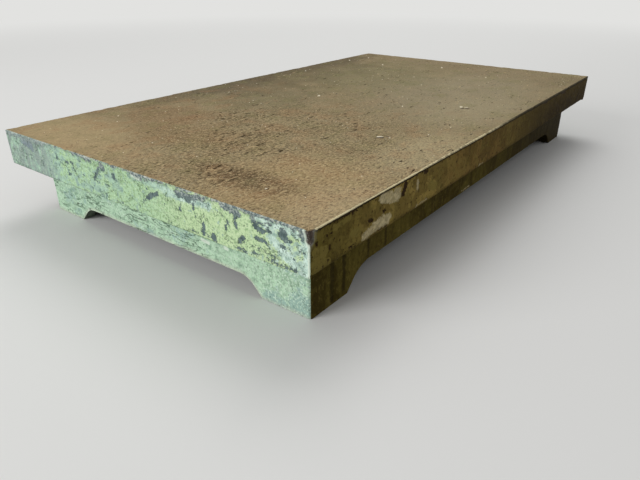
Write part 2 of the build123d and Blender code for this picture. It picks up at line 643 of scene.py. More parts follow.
@dataclass
class CastingSkin:
    """The whole casting's outer skin and hollow, as one closed mesh of rings.

    Relief only ever goes inwards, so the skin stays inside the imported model.
    """

    sizes: PlateSizes
    columns: Columns = field(default_factory=Columns)
    rim_rows: int = 18
    skirt_rows: int = 18
    wall_rows: int = 8
    top_insets: tuple[float, ...] = (12 * MM, 6 * MM, 3.4 * MM, 2.2 * MM)
    ledge_shares: tuple[float, ...] = (0.35, 0.7, 1.0)
    ceiling_strip: float = 6 * MM
    chip_across: float = 6 * MM
    chip_along: float = 8 * MM
    chip_down: float = 15 * MM
    chip_square_across: float = 4.2 * MM
    chip_square_down: float = 9.5 * MM
    chip_roughness: float = 0.25 * MM
    wave_depth: float = 0.35 * MM
    chip_depth: float = 0.3 * MM
    nick_depth: BySide = (1.1 * MM, 0.8 * MM, 0.5 * MM, 0.35 * MM)
    nick_reach: float = 2.2 * MM
    arris_roughness: float = 0.25 * MM
    lower_wear: BySide = (0.0, 2.4 * MM, 0.2 * MM, 0.6 * MM)
    lower_nick: float = 0.9 * MM
    lower_reach: float = 2.4 * MM
    hem_depth: float = 0.4 * MM
    room_in_corner: float = 0.75
    room_slope: float = 0.7
    grime: BySide = (0.0, 1.0, 0.45, 0.6)
    broken_margin: float = 0.3
    furthest: float = 8.0
    furthest_edge: float = 12.0

    def rings(self) -> list[Ring]:
        """Lists the rings from the middle of the top, down the outside and up into the hollow.

        Returns:
            The rings in order.
        """
        s = self.sizes
        top, under = s.height - s.litter, s.height - s.rim_depth
        made = [Ring(inset, inset, s.rim_corner - s.arris, top, Zone.TOP) for inset in self.top_insets]
        for inset, down in quarter(s.arris, 5):
            made.append(Ring(inset, inset, s.rim_corner - inset, top - down, Zone.ARRIS))
        for z in np.linspace(top - s.arris, under + s.rim_lower, self.rim_rows + 2)[1:]:
            made.append(Ring(0, 0, s.rim_corner, z, Zone.RIM))
        for up, inset in quarter(s.rim_lower, 4)[1:]:
            made.append(Ring(inset, inset, s.rim_corner - inset, under + up, Zone.RIM))
        return made + self._ledge_and_skirt(under) + self._sole_and_hollow()

    def _behind_skirt(
        self, inset: float, corner: float, height: float, zone: Zone, follow: float = 0.0,
    ) -> Ring:
        """Gives a ring that stands at one distance behind the skirt's outer face all round."""
        return Ring(self.sizes.inset_side + inset, self.sizes.inset_end + inset, corner, height, zone, follow)

    def _ledge_and_skirt(self, under: float) -> list[Ring]:
        """Lists the rings under the rim and down the skirt's outer face.

        Args:
            under: Height of the rim's underside.

        Returns:
            The rings in order.
        """
        s = self.sizes
        made = []
        corner = s.rim_corner - s.rim_lower
        for share in self.ledge_shares:
            side = s.rim_lower + share * (s.inset_side - s.skirt_root - s.rim_lower)
            end = s.rim_lower + share * (s.inset_end - s.skirt_root - s.rim_lower)
            radius = corner + share * (s.skirt_corner + s.skirt_root - corner)
            made.append(Ring(side, end, radius, under, Zone.LEDGE))
        for out, down in quarter(s.skirt_root, 5)[1:]:
            made.append(self._behind_skirt(-out, s.skirt_corner + out, under - down, Zone.SKIRT))
        high = under - s.skirt_root
        for share in np.linspace(0, 1, self.skirt_rows + 1)[1:]:
            height = high + share * (s.sole_edge - high)
            made.append(self._behind_skirt(0, s.skirt_corner, height, Zone.SKIRT, share))
        return made

    def _sole_and_hollow(self) -> list[Ring]:
        """Lists the rings across the soles, and up the drafted wall to the ceiling.

        Returns:
            The rings in order.
        """
        s = self.sizes
        made = []
        for height, inset in quarter(s.sole_edge, 4)[1:]:
            made.append(self._behind_skirt(inset, s.skirt_corner - inset, height, Zone.SOLE, 1.0))
        blend = (s.skirt_corner + s.hollow_corner) / 2
        made.append(self._behind_skirt(s.skirt_wall / 2, blend, 0.0, Zone.SOLE, 1.0))
        for height, inset in reversed(quarter(s.sole_edge, 4)):
            made.append(self._behind_skirt(s.skirt_wall - inset, s.hollow_corner, height, Zone.SOLE, 1.0))
        high = s.ceiling - s.ceiling_edge
        for share in np.linspace(0, 1, self.wall_rows + 1)[1:]:
            height = s.sole_edge + share * (high - s.sole_edge)
            lean = height * math.tan(s.draft)
            radius = s.hollow_corner - lean
            made.append(self._behind_skirt(s.skirt_wall + lean, radius, height, Zone.HOLLOW, 1 - share))
        lean = high * math.tan(s.draft)
        for below, across in quarter(s.ceiling_edge, 5)[1:]:
            inset, height = s.skirt_wall + lean + across, s.ceiling - below
            radius = s.hollow_corner - lean - across
            made.append(self._behind_skirt(inset, radius, height, Zone.HOLLOW))
        made.append(self._behind_skirt(inset + self.ceiling_strip, radius, height, Zone.HOLLOW))
        return made

    def _grid(self, rings: list[Ring]) -> tuple[np.ndarray, np.ndarray]:
        """Places every vertex.

        Args:
            rings: The rings in order.

        Returns:
            The vertices, ring by ring, and the side that each column is on.
        """
        s = self.sizes
        rows = []
        for ring in rings:
            half_x, half_y = s.width / 2 - ring.inset_side, s.length / 2 - ring.inset_end
            flat, sides = self.columns.walk(half_x, half_y, ring.corner)
            arch = np.zeros(len(flat))
            for side in Side:
                here = sides == side.value
                ahead = np.array(self.columns.normals[(side.value + 1) % 4], float)
                arch[here] = s.arch_height(side, flat[here] @ ahead)
            rows.append(np.column_stack([flat, ring.height + ring.follow * arch]))
        return np.array(rows), sides

    @staticmethod
    def _normals(grid: np.ndarray) -> np.ndarray:
        """Works out which way is outward.

        Args:
            grid: The vertices.

        Returns:
            A direction of length 1 at each vertex.
        """
        round_it = np.roll(grid, -1, axis=1) - np.roll(grid, 1, axis=1)
        down = np.gradient(grid, axis=0)
        out = np.cross(down, round_it)
        return out / np.maximum(np.linalg.norm(out, axis=2, keepdims=True), 1e-12)

    @staticmethod
    def _along(grid: np.ndarray, sides: np.ndarray) -> np.ndarray:
        """Place of each vertex along its own side, in millimetres, rising with x or y."""
        return np.where(sides % 2 == 0, grid[..., 0], grid[..., 1]) / MM

    def _marks(self, grid: np.ndarray, sides: np.ndarray, zones: np.ndarray) -> dict[Wear, np.ndarray]:
        """Measures how far each vertex is from the nearest stroke of each kind.

        Args:
            grid: The vertices.
            sides: Side of each column.
            zones: Zone of each ring.

        Returns:
            Millimetres to the nearest stroke's edge, below 0 inside it.
        """
        s = self.sizes
        by_side = {
            Side.NEAR_END: NEAR_END_MARKS,
            Side.OILY_LONG: OILY_LONG_MARKS,
            Side.FAR_END: random_marks(seed=31, half_length=s.width / 2 / MM, count=60),
            Side.OTHER_LONG: random_marks(seed=47, half_length=s.length / 2 / MM, count=90),
        }
        painted = np.isin(zones, [Zone.ARRIS.value, Zone.RIM.value, Zone.SKIRT.value])
        along, high = self._along(grid, sides), grid[..., 2] / MM
        made = {wear: np.full(grid.shape[:2], self.furthest) for wear in Wear}
        for side, kinds in by_side.items():
            here = np.ix_(painted, sides == side.value)
            a, z = along[here], high[here]
            for wear, strokes in kinds.items():
                nearest = made[wear][here]
                for a0, z0, a1, z1, wide in strokes:
                    run = (a1 - a0) ** 2 + (z1 - z0) ** 2
                    share = np.clip(((a - a0) * (a1 - a0) + (z - z0) * (z1 - z0)) / max(run, 1e-6), 0, 1)
                    reach = np.hypot(a - a0 - share * (a1 - a0), z - z0 - share * (z1 - z0)) - wide / 2
                    nearest = np.minimum(nearest, reach)
                made[wear][here] = nearest
        return made

    def _knocked_corner(self, grid: np.ndarray) -> tuple[np.ndarray, np.ndarray]:
        """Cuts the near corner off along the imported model's own plane, and squarer above.

        Args:
            grid: The vertices.

        Returns:
            The vertices with those outside a cut laid on it, and how far outside each was.
        """
        s = self.sizes
        corner = np.array([s.width / 2, -s.length / 2, s.height])
        rough = self.chip_roughness * (1 + smooth_noise(grid, 1.6 * MM, seed=5))
        below = np.clip(s.height - self.chip_square_down - grid[..., 2], 0, None)
        furthest = np.full(grid.shape[:2], -math.inf)
        cuts = ((self.chip_across, 1 / self.chip_down, 0.0), (self.chip_square_across, 0.0, 1.0))
        for across, up, fade in cuts:
            facing = np.array([1 / self.chip_across, -1 / self.chip_along, up])
            facing /= np.linalg.norm(facing)
            outside = (grid - corner) @ facing + across * facing[0] - fade * below
            push = np.clip(outside + rough * ease(outside, -0.2 * MM, 0.6 * MM), 0, None)
            grid = grid - push[..., None] * facing
            furthest = np.maximum(furthest, outside)
        return grid, furthest

    def _relief(
        self, grid: np.ndarray, sides: np.ndarray, edge: np.ndarray, zones: np.ndarray,
        marks: dict[Wear, np.ndarray],
    ) -> np.ndarray:
        """Works out how deep each vertex lies under the clean surface.

        Args:
            grid: The vertices.
            sides: Side of each column.
            edge: Distance of each ring from the top's edge in metres.
            zones: Zone of each ring.
            marks: Distances to the strokes.

        Returns:
            Depths in metres, never below 0.
        """
        level = grid * (1, 1, 0)
        cast = np.isin(zones, [Zone.RIM.value, Zone.SKIRT.value, Zone.LEDGE.value, Zone.HOLLOW.value])
        wave = 0.6 * smooth_noise(grid, 44 * MM, seed=1) + 0.3 * smooth_noise(grid, 13 * MM, seed=2)
        wave += 0.15 * smooth_noise(grid, 5 * MM, seed=3)
        depth = self.wave_depth * np.clip(0.55 + wave, 0, None) * cast[:, None]
        depth += self.chip_depth * ease(-marks[Wear.IRON], -0.3, 0.6)
        nick = ease(smooth_noise(level, 9 * MM, seed=7), 0.35, 0.9) * np.array(self.nick_depth)[sides]
        nick += (0.5 + 0.5 * smooth_noise(level, 3.2 * MM, seed=8)) * self.arris_roughness
        depth += nick * np.exp(-((edge[:, None] / self.nick_reach) ** 2))
        above = (grid[..., 2] - self.sizes.height + self.sizes.rim_depth) / self.lower_reach
        lower_nick = ease(smooth_noise(level, 7 * MM, seed=9), 0.2, 0.9) * self.lower_nick
        lower = np.exp(-(above**2)) * (lower_nick + np.array(self.lower_wear)[sides])
        depth += lower * (zones == Zone.RIM.value)[:, None]
        hem = ease(smooth_noise(grid, 6 * MM, seed=10), 0.1, 0.9) * self.hem_depth
        return depth + hem * (zones == Zone.SKIRT.value)[:, None]

    def _room(self, grid: np.ndarray, rings: list[Ring]) -> np.ndarray:
        """Limits the relief: little by the plate's corners, where more would fold over.

        Args:
            grid: The vertices.
            rings: The rings that they are on.

        Returns:
            Greatest depth at each vertex.
        """
        s = self.sizes
        half = np.array([(s.width / 2 - ring.inset_side, s.length / 2 - ring.inset_end) for ring in rings])
        away = (half[:, None] - np.abs(grid[..., :2])).max(axis=2)
        corner = np.array([ring.corner for ring in rings])[:, None]
        return self.room_in_corner * corner + self.room_slope * np.clip(away - corner, 0, None)

    def build(self, materials: list[bpy.types.Material]) -> bpy.types.Object:
        """Builds the skin, and stores on it what its paint is read from.

        Args:
            materials: Finishes of the top, the paint and the hollow, in that order.

        Returns:
            The casting as one closed mesh.
        """
        rings = self.rings()
        zones = np.array([ring.zone.value for ring in rings])
        grid, sides = self._grid(rings)
        marks = self._marks(grid, sides, zones)
        edge = np.array([self._edge_distance(ring) for ring in rings])
        normals = self._normals(grid)
        depth = np.minimum(self._relief(grid, sides, edge, zones, marks), self._room(grid, rings))
        depth[zones == Zone.SOLE.value] = 0.0
        grid, outside = self._knocked_corner(grid - normals * depth[..., None])
        mesh = self._mesh(grid, zones, materials)
        values = {wear.name.lower(): made for wear, made in marks.items()}
        values["edge"] = np.minimum(edge[:, None] / MM, self.furthest_edge)
        values["knocked"] = np.clip(self.broken_margin - outside / MM, -self.furthest, self.furthest)
        values["hem"] = self._above_hem(grid, zones)
        values["grime"] = np.array(self.grime)[sides]
        values["topcoat"] = self._topcoat(grid, sides)
        for name, made in values.items():
            stored = mesh.attributes.new(name, "FLOAT", "POINT")
            everywhere = np.broadcast_to(made, grid.shape[:2])
            stored.data.foreach_set("value", everywhere.astype(np.float32).ravel())
        return stand("weathered_casting", mesh)

    def _edge_distance(self, ring: Ring) -> float:
        """Measures over the surface from the middle of the top's rounded edge.

        Args:
            ring: The ring to measure to.

        Returns:
            The distance in metres.
        """
        s = self.sizes
        half_turn = s.arris * math.pi / 4
        down = s.height - s.litter - ring.height
        if ring.zone is Zone.TOP:
            return ring.inset_side - s.arris + half_turn
        if ring.zone is Zone.ARRIS:
            return abs(s.arris * math.acos(min(max(1 - down / s.arris, -1.0), 1.0)) - half_turn)
        return down - s.arris + half_turn

    def _above_hem(self, grid: np.ndarray, zones: np.ndarray) -> np.ndarray:
        """Height of each vertex over the skirt's arched lower edge, in millimetres."""
        last = np.flatnonzero(zones == Zone.SKIRT.value)[-1]
        return np.clip((grid[..., 2] - grid[last, :, 2]) / MM, 0.0, self.furthest)

    def _topcoat(self, grid: np.ndarray, sides: np.ndarray) -> np.ndarray:
        """Works out how much of the yellower topcoat is left, least at the near end's left half.

        Args:
            grid: The vertices.
            sides: Side of each column.

        Returns:
            A share at each vertex.
        """
        along = self._along(grid, sides)
        clouds = 0.35 * smooth_noise(grid, 60 * MM, seed=21)
        near = 0.5 + 0.22 * ease(along, -60.0, 60.0) - 0.2 * ease(along, 155.0, 185.0)
        near = near - 0.5 * ease(-along, 80.0, 135.0) + 0.25 * clouds
        return np.where(sides == Side.NEAR_END.value, near, 0.55 + clouds)

    @staticmethod
    def _mesh(grid: np.ndarray, zones: np.ndarray, materials: list[bpy.types.Material]) -> bpy.types.Mesh:
        """Joins the rings with faces, closes the top and the ceiling, and gives each face its finish.

        Args:
            grid: The vertices.
            zones: Zone of each ring.
            materials: Finishes of the top, the paint and the hollow.

        Returns:
            The mesh.
        """
        rows, count = grid.shape[:2]
        ring = np.arange(count)
        after = np.roll(ring, -1)
        faces = []
        for start in range(0, (rows - 1) * count, count):
            below = start + count
            faces += np.column_stack([start + ring, below + ring, below + after, start + after]).tolist()
        faces += [ring.tolist(), ((rows - 1) * count + ring[::-1]).tolist()]
        top, paint, hollow = range(3)
        slots = np.where(zones[1:] == Zone.HOLLOW.value, hollow, paint)
        slots = np.where(zones[:-1] == Zone.TOP.value, top, slots)
        mesh = bpy.data.meshes.new("weathered_casting")
        mesh.from_pydata(grid.reshape(-1, 3).tolist(), [], faces)
        for material in materials:
            mesh.materials.append(material)
        mesh.polygons.foreach_set("material_index", np.append(np.repeat(slots, count), [top, hollow]))
        mesh.shade_smooth()
        mesh.update()
        return mesh


@dataclass(frozen=True)
class Studio:
    """Floor, lights, world and the camera at the photograph's own viewpoint."""

    eye: tuple[float, float, float] = (0.39432, -0.5906, 0.2432)
    tilt_deg: float = 63.35
    roll_deg: float = -0.05
    turn_deg: float = 37.23
    focal_pixels: float = 548.1
    sensor_width: float = 36.0
    nearest: float = 0.01
    furthest: float = 200.0
    floor_size: float = 60.0
    floor_seen: Rgb = (226, 226, 224)
    floor_lit: Rgb = (96, 96, 95)
    world_level: float = 0.42
    key_place: tuple[float, float, float] = (-0.9, -2.6, 0.85)
    key_size: float = 1.5
    key_power: float = 56.0
    high_place: tuple[float, float, float] = (-0.7, 1.3, 2.4)
    high_size: float = 1.8
    high_power: float = 30.0
    fade_start: float = 0.9
    fade_end: float = 2.6

    def camera(self) -> None:
        """Adds the camera and makes it the scene's own."""
        data = bpy.data.cameras.new("photo_view")
        data.sensor_width = self.sensor_width
        data.lens = self.focal_pixels / IMAGE_WIDTH * self.sensor_width
        data.clip_start, data.clip_end = self.nearest, self.furthest
        camera = stand("photo_view", data)
        camera.location = self.eye
        camera.rotation_euler = [math.radians(a) for a in (self.tilt_deg, self.roll_deg, self.turn_deg)]
        bpy.context.scene.camera = camera

    def floor(self) -> None:
        """Adds the pale floor, which keeps the object's shadow and throws little light back."""
        half = self.floor_size / 2
        mesh = bpy.data.meshes.new("studio_floor")
        corners = [(-half, -half, 0), (half, -half, 0), (half, half, 0), (-half, half, 0)]
        mesh.from_pydata(corners, [], [(0, 1, 2, 3)])
        mesh.materials.append(self._floor_material())
        floor = stand("studio_floor", mesh)

    def _floor_material(self) -> bpy.types.Material:
        """Makes a floor that is pale to the camera, and darker to the light that it sends back up.

        Returns:
            The material.
        """
        s = Shading("studio_floor")
        seen = s.seen()
        matt = s.add("ShaderNodeBsdfDiffuse", None, {"Color": s.mix(seen, self.floor_lit, self.floor_seen)})
        plain = s.add("ShaderNodeEmission", None, {"Color": linear(self.floor_seen), "Strength": 1.0})
        far = s.step(s.vector("LENGTH", s.place) * MM, self.fade_start, self.fade_end) * seen
        surface = s.add("ShaderNodeMixShader", None, {0: far, 1: matt, 2: plain})
        s.add("ShaderNodeOutputMaterial", None, {"Surface": surface})
        return s.material

    def world(self) -> None:
        """Lights everything evenly, and shows as pale as the floor."""
        world = bpy.data.worlds.new("studio_world")
        bpy.context.scene.world = world
        world.use_nodes = True
        desk = Desk(world.node_tree)
        even = desk.add("ShaderNodeBackground", None, {"Color": (1, 1, 1, 1), "Strength": self.world_level})
        pale = desk.add("ShaderNodeBackground", None, {"Color": linear(self.floor_seen), "Strength": 1.0})
        both = desk.add("ShaderNodeMixShader", None, {0: desk.seen(), 1: even, 2: pale})
        desk.add("ShaderNodeOutputWorld", None, {"Surface": both})

    def lamp(self, name: str, place: tuple[float, float, float], size: float, power: float) -> None:
        """Adds one soft square lamp that looks at the plate.

        Args:
            name: Its name.
            place: Where it stands.
            size: Length of its sides.
            power: Its power in watts.
        """
        data = bpy.data.lights.new(name, "AREA")
        data.size = size
        data.energy = power
        lamp = stand(name, data)
        x, y, z = place
        lamp.location = place
        lamp.rotation_euler = Euler((math.atan2(math.hypot(x, y), z), 0, math.atan2(-x, y) + math.pi))

    def build(self) -> None:
        """Builds the studio."""
        bpy.context.scene.view_settings.view_transform = "Standard"
        self.camera()
        self.floor()
        self.world()
        self.lamp("key_light", self.key_place, self.key_size, self.key_power)
        self.lamp("high_light", self.high_place, self.high_size, self.high_power)


@dataclass(frozen=True)
class Patch:
    """Soft-edged area of the top: its middle and reach in millimetres, how much it shows and its colour."""

    x: float
    y: float
    reach_x: float
    reach_y: float
    strength: float
    colour: Rgb | None = None

    def shown(self, s: Shading, rough: Wire) -> Wire:
        """Gives how much of the patch shows at each point.

        Args:
            s: The material's desk.
            rough: Noise that roughens the patch's outline.

        Returns:
            A value from 0 to the patch's strength.
        """
        away = s.vector("SUBTRACT", s.place, (self.x, self.y, 0.0))
        away = s.vector("MULTIPLY", away, (1 / self.reach_x, 1 / self.reach_y, 0.0))
        return s.step(s.vector("LENGTH", away) + (rough - 0.5) * 0.9, 1.25, 0.35) * self.strength


@dataclass(frozen=True)
class WornTop:
    """Worked face under a film of rust, oil and workshop dust, with painted shade and highlights on its fine
    relief and along some edges.
    """

    dust: Rgb = (151, 136, 104)
    dust_pale: Rgb = (166, 149, 114)
    rust: Rgb = (132, 117, 86)
    # Pit, crest and crust also paint the fine relief's shade and highlights
    pit_shade: Rgb = (54, 41, 21)
    crest_highlight: Rgb = (192, 168, 126)
    crust_and_shade: Rgb = (84, 68, 46)
    fleck: Rgb = (212, 194, 152)
    reddish: Rgb = (156, 116, 80)
    olive: Rgb = (128, 124, 80)
    # Metal rubbed bare on the top's edge, painted pale as its highlight
    bare_edge_and_highlight: Rgb = (244, 224, 182)
    patches: tuple[Patch, ...] = (
        Patch(-135, -305, 96, 58, 0.8, (176, 157, 119)),
        Patch(140, -280, 84, 84, 0.75, (175, 149, 108)),
        Patch(20, -240, 70, 50, 0.4, (136, 116, 82)),
        Patch(98, -300, 58, 22, 0.8, (98, 78, 54)),
        Patch(-112, -200, 66, 56, 0.5, (138, 110, 80)),
        Patch(-50, -235, 84, 44, 0.4, (142, 116, 82)),
        Patch(-90, -325, 120, 40, 0.6, (180, 158, 120)),
        Patch(186, -300, 34, 60, 0.6, (184, 164, 128)),
        Patch(95, 110, 120, 180, 0.6, (158, 148, 122)),
        Patch(-75, -60, 70, 80, 0.5, (116, 110, 84)),
        Patch(-60, 150, 110, 150, 0.5, (128, 124, 93)),
        Patch(150, 20, 60, 110, 0.75, (162, 150, 120)),
        Patch(178, -150, 40, 84, 0.6, (184, 170, 134)),
        Patch(20, 300, 200, 60, 0.4, (140, 126, 100)),
        Patch(178, 270, 34, 60, 0.35, (122, 110, 86)),
        # These four darken the band along the left long edge: partly a painted cast shadow, partly a darker
        # film
        Patch(-190, 210, 40, 130, 0.75, (96, 84, 66)),
        Patch(-194, -40, 46, 190, 0.75, (94, 82, 62)),
        Patch(-170, -60, 40, 90, 0.45, (112, 104, 84)),
        Patch(-176, 80, 92, 220, 0.42, (84, 76, 56)),
    )
    pitted: tuple[Patch, ...] = (
        Patch(-45, -160, 44, 34, 0.9),
        Patch(12, -205, 44, 40, 1.0),
        Patch(36, -232, 54, 36, 1.0),
        Patch(100, -300, 60, 30, 1.0),
        Patch(40, -110, 120, 50, 0.35),
    )

    def _film(self, s: Shading, blotch: Wire) -> Wire:
        """Colours the film in clouds and patches.

        Args:
            s: The material's desk.
            blotch: Noise of about a fingertip's size.

        Returns:
            The colour.
        """
        broad = s.grain(46, detail=4, roughness=0.6)
        hue = s.grain(24, detail=4, roughness=0.6, stretch=(1.0, 1.4, 1.0), shift=88.0)
        warmth = s.step(s.y, 60.0, -140.0) * 0.26 + 0.06
        return s.layered(
            s.mix(s.step(broad, 0.32, 0.68), self.rust, self.dust),
            *[(patch.shown(s, broad), patch.colour) for patch in self.patches],
            (s.step(hue, 0.5, 0.66) * warmth, self.reddish),
            (s.step(hue, 0.5, 0.34) * 0.32, self.olive),
            (s.step(blotch, 0.5, 0.78) * 0.35, self.dust_pale),
            (s.step(blotch, 0.5, 0.24) * 0.35, self.rust),
        )

    @staticmethod
    def _strokes(s: Shading, pitting: Wire, shift: float) -> Wire:
        """Draws short strokes along the plate, more of them where it is pitted; drawn twice a little apart,
        they give a pit's painted shaded wall and painted lit edge.

        Args:
            s: The material's desk.
            pitting: How pitted it is.
            shift: Moves the strokes a little, so that one set can lie beside another.

        Returns:
            1 on the strokes.
        """
        strokes = s.grain(3.1, detail=3, roughness=0.6, stretch=(1.0, 4.4, 1.0), shift=shift)
        return s.step(strokes + pitting * 0.07, 0.665, 0.685)

    def _pits(self, s: Shading, pitting: Wire, blotch: Wire, near: Wire) -> Wire:
        """Draws small holes and the strokes' shaded sides, both painted dark as shade, fewer by the near
        corners and at the far end.

        Args:
            s: The material's desk.
            pitting: How pitted the face is.
            blotch: Noise of about a fingertip's size.
            near: 1 at the near end.

        Returns:
            1 in the holes.
        """
        wide = s.spots(6.5, 0.22, 0.35, shift=3.0) * s.step(pitting + blotch * 0.5, 0.4, 0.62)
        small = s.spots(5.0, 0.17, 0.5, shift=19.0) * s.step(blotch + near * 0.1, 0.52, 0.6) * 0.8
        clear = s.greater(s.step(s.x, 70.0, 120.0), s.step(s.x, -70.0, -130.0)) * s.step(s.y, -190.0, -250.0)
        shown = (1 - clear * 0.8) * (1 - s.step(s.y, 60.0, 260.0) * 0.5)
        return s.greater(s.greater(wide, small) * 0.7, self._strokes(s, pitting, 22.0)) * shown

    @staticmethod
    def _rubbed_edge_and_highlight(s: Shading, blotch: Wire, speckle: Wire) -> Wire:
        """Finds where the top's edge is rubbed bare and carries a painted highlight, most on the oily side
        and not at its far end.

        Args:
            s: The material's desk.
            blotch: Noise of about a fingertip's size.
            speckle: The finest noise.

        Returns:
            1 on bare metal, which is painted as a highlight.
        """
        edge = s.field("edge") + (speckle - 0.5) * 1.6 - s.step(s.y, -330.0, -60.0) * 0.5
        bare = s.step(edge, 0.8, 0.3) * s.step(blotch, 0.3, 0.5) * (s.step(s.x, 195.0, 197.5) * 0.6 + 0.25)
        return bare * (1 - s.step(s.y, -70.0, 40.0) * 0.9)

    def make(self) -> bpy.types.Material:
        """Makes the finish, from the film up to the loose flecks.

        Returns:
            The material.
        """
        s = Shading("worn_top")
        blotch = s.grain(6, detail=4, roughness=0.65, stretch=(1.0, 1.6, 1.0), shift=4.0)
        ripple = s.grain(1.9, detail=4, roughness=0.64, stretch=(1.0, 1.7, 1.0), shift=61.0)
        speckle = s.grain(1.3, detail=3, roughness=0.7, stretch=(1.0, 1.7, 1.0))
        grit = s.grain(1.2, detail=2, roughness=0.6, stretch=(1.0, 1.6, 1.0), shift=9.0)
        near = s.step(s.y, 60.0, -240.0)
        lively = s.step(s.x, -110.0, 20.0) * 0.6 + 0.4
        pitting = s.step(s.grain(34, detail=2, shift=17.0), 0.56, 0.72) * 0.5
        for patch in self.pitted:
            pitting = s.greater(pitting, patch.shown(s, blotch))
        pits = self._pits(s, pitting, blotch, near)
        clods = s.grain(5.0, detail=4, roughness=0.66, stretch=(1.0, 2.0, 1.0), shift=77.0) + pitting * 0.08
        flecks = s.greater(s.spots(11.0, 0.05, 0.3, shift=31.0), s.step(grit, 0.66, 0.72) * near)
        colour = s.layered(
            self._film(s, blotch),
            # Painted light on the fine relief: ripple crests get a painted highlight and ripple troughs
            # painted shade; the finest grain is lighter on its highs and darker in its lows, partly pale grit
            # and partly painted light
            (s.step(ripple, 0.52, 0.62) * (near * 0.66 + 0.08) * lively, self.crest_highlight),
            (s.step(ripple, 0.47, 0.36) * (near * 0.54 + 0.08) * lively, self.crust_and_shade),
            (s.step(speckle, 0.53, 0.7) * (near * 0.35 + 0.25) * lively, self.fleck),
            (s.step(speckle, 0.48, 0.3) * 0.24 * lively, self.crust_and_shade),
            # Painted highlight: a lit edge beside each shaded stroke
            (self._strokes(s, pitting, 22.4) * 0.7, self.crest_highlight),
            (s.step(clods, 0.64, 0.68) * s.step(pitting, 0.3, 0.5) * 0.3, self.crust_and_shade),
            # Painted shade: the holes and strokes are darkened as shaded hollows
            (pits * 0.95, self.pit_shade),
            (flecks * 0.75, self.fleck),
            # Painted highlight along the top's edge, on metal rubbed bare
            (self._rubbed_edge_and_highlight(s, blotch, speckle), self.bare_edge_and_highlight),
        )
        height = blotch * 0.5 + ripple * 0.9 + speckle * 0.7 + grit * 0.4 - pits
        roughness = s.step(blotch, 0.2, 0.8) * 0.16 + 0.7
        return s.finish(colour, roughness, height, 1.0, specular=0.06)


@dataclass(frozen=True)
class PaintGrain:
    """Patterns that all of the paint's layers share: four noises from fine to broad, and three more."""

    fine: Wire
    speck: Wire
    medium: Wire
    broad: Wire
    ragged: Wire
    on_rim: Wire
    oily: Wire

    @classmethod
    def drawn(cls, s: Shading) -> "PaintGrain":
        """Draws the patterns.

        Args:
            s: The material's desk.

        Returns:
            The patterns. Ragged is a distance in millimetres, which roughens a mark's outline.
        """
        broad = s.grain(24, detail=3, shift=12.0)
        ragged = (s.grain(2.7, detail=5, roughness=0.75, shift=3.0) - 0.5) * 8.0
        grime = s.field("grime")
        return cls(
            fine=s.grain(1.0, detail=3, roughness=0.65),
            speck=s.grain(2.3, detail=3, roughness=0.65, shift=14.0),
            medium=s.grain(4.6, detail=4, roughness=0.62, shift=1.0),
            broad=broad,
            ragged=ragged + (s.grain(1.1, detail=2, roughness=0.6, shift=36.0) - 0.5) * 3.0,
            on_rim=s.step(s.z, 54.6, 56.0),
            oily=s.step(grime + (broad - 0.5) * 0.9 * s.step(grime, 0.99, 0.9), 0.35, 0.7),
        )


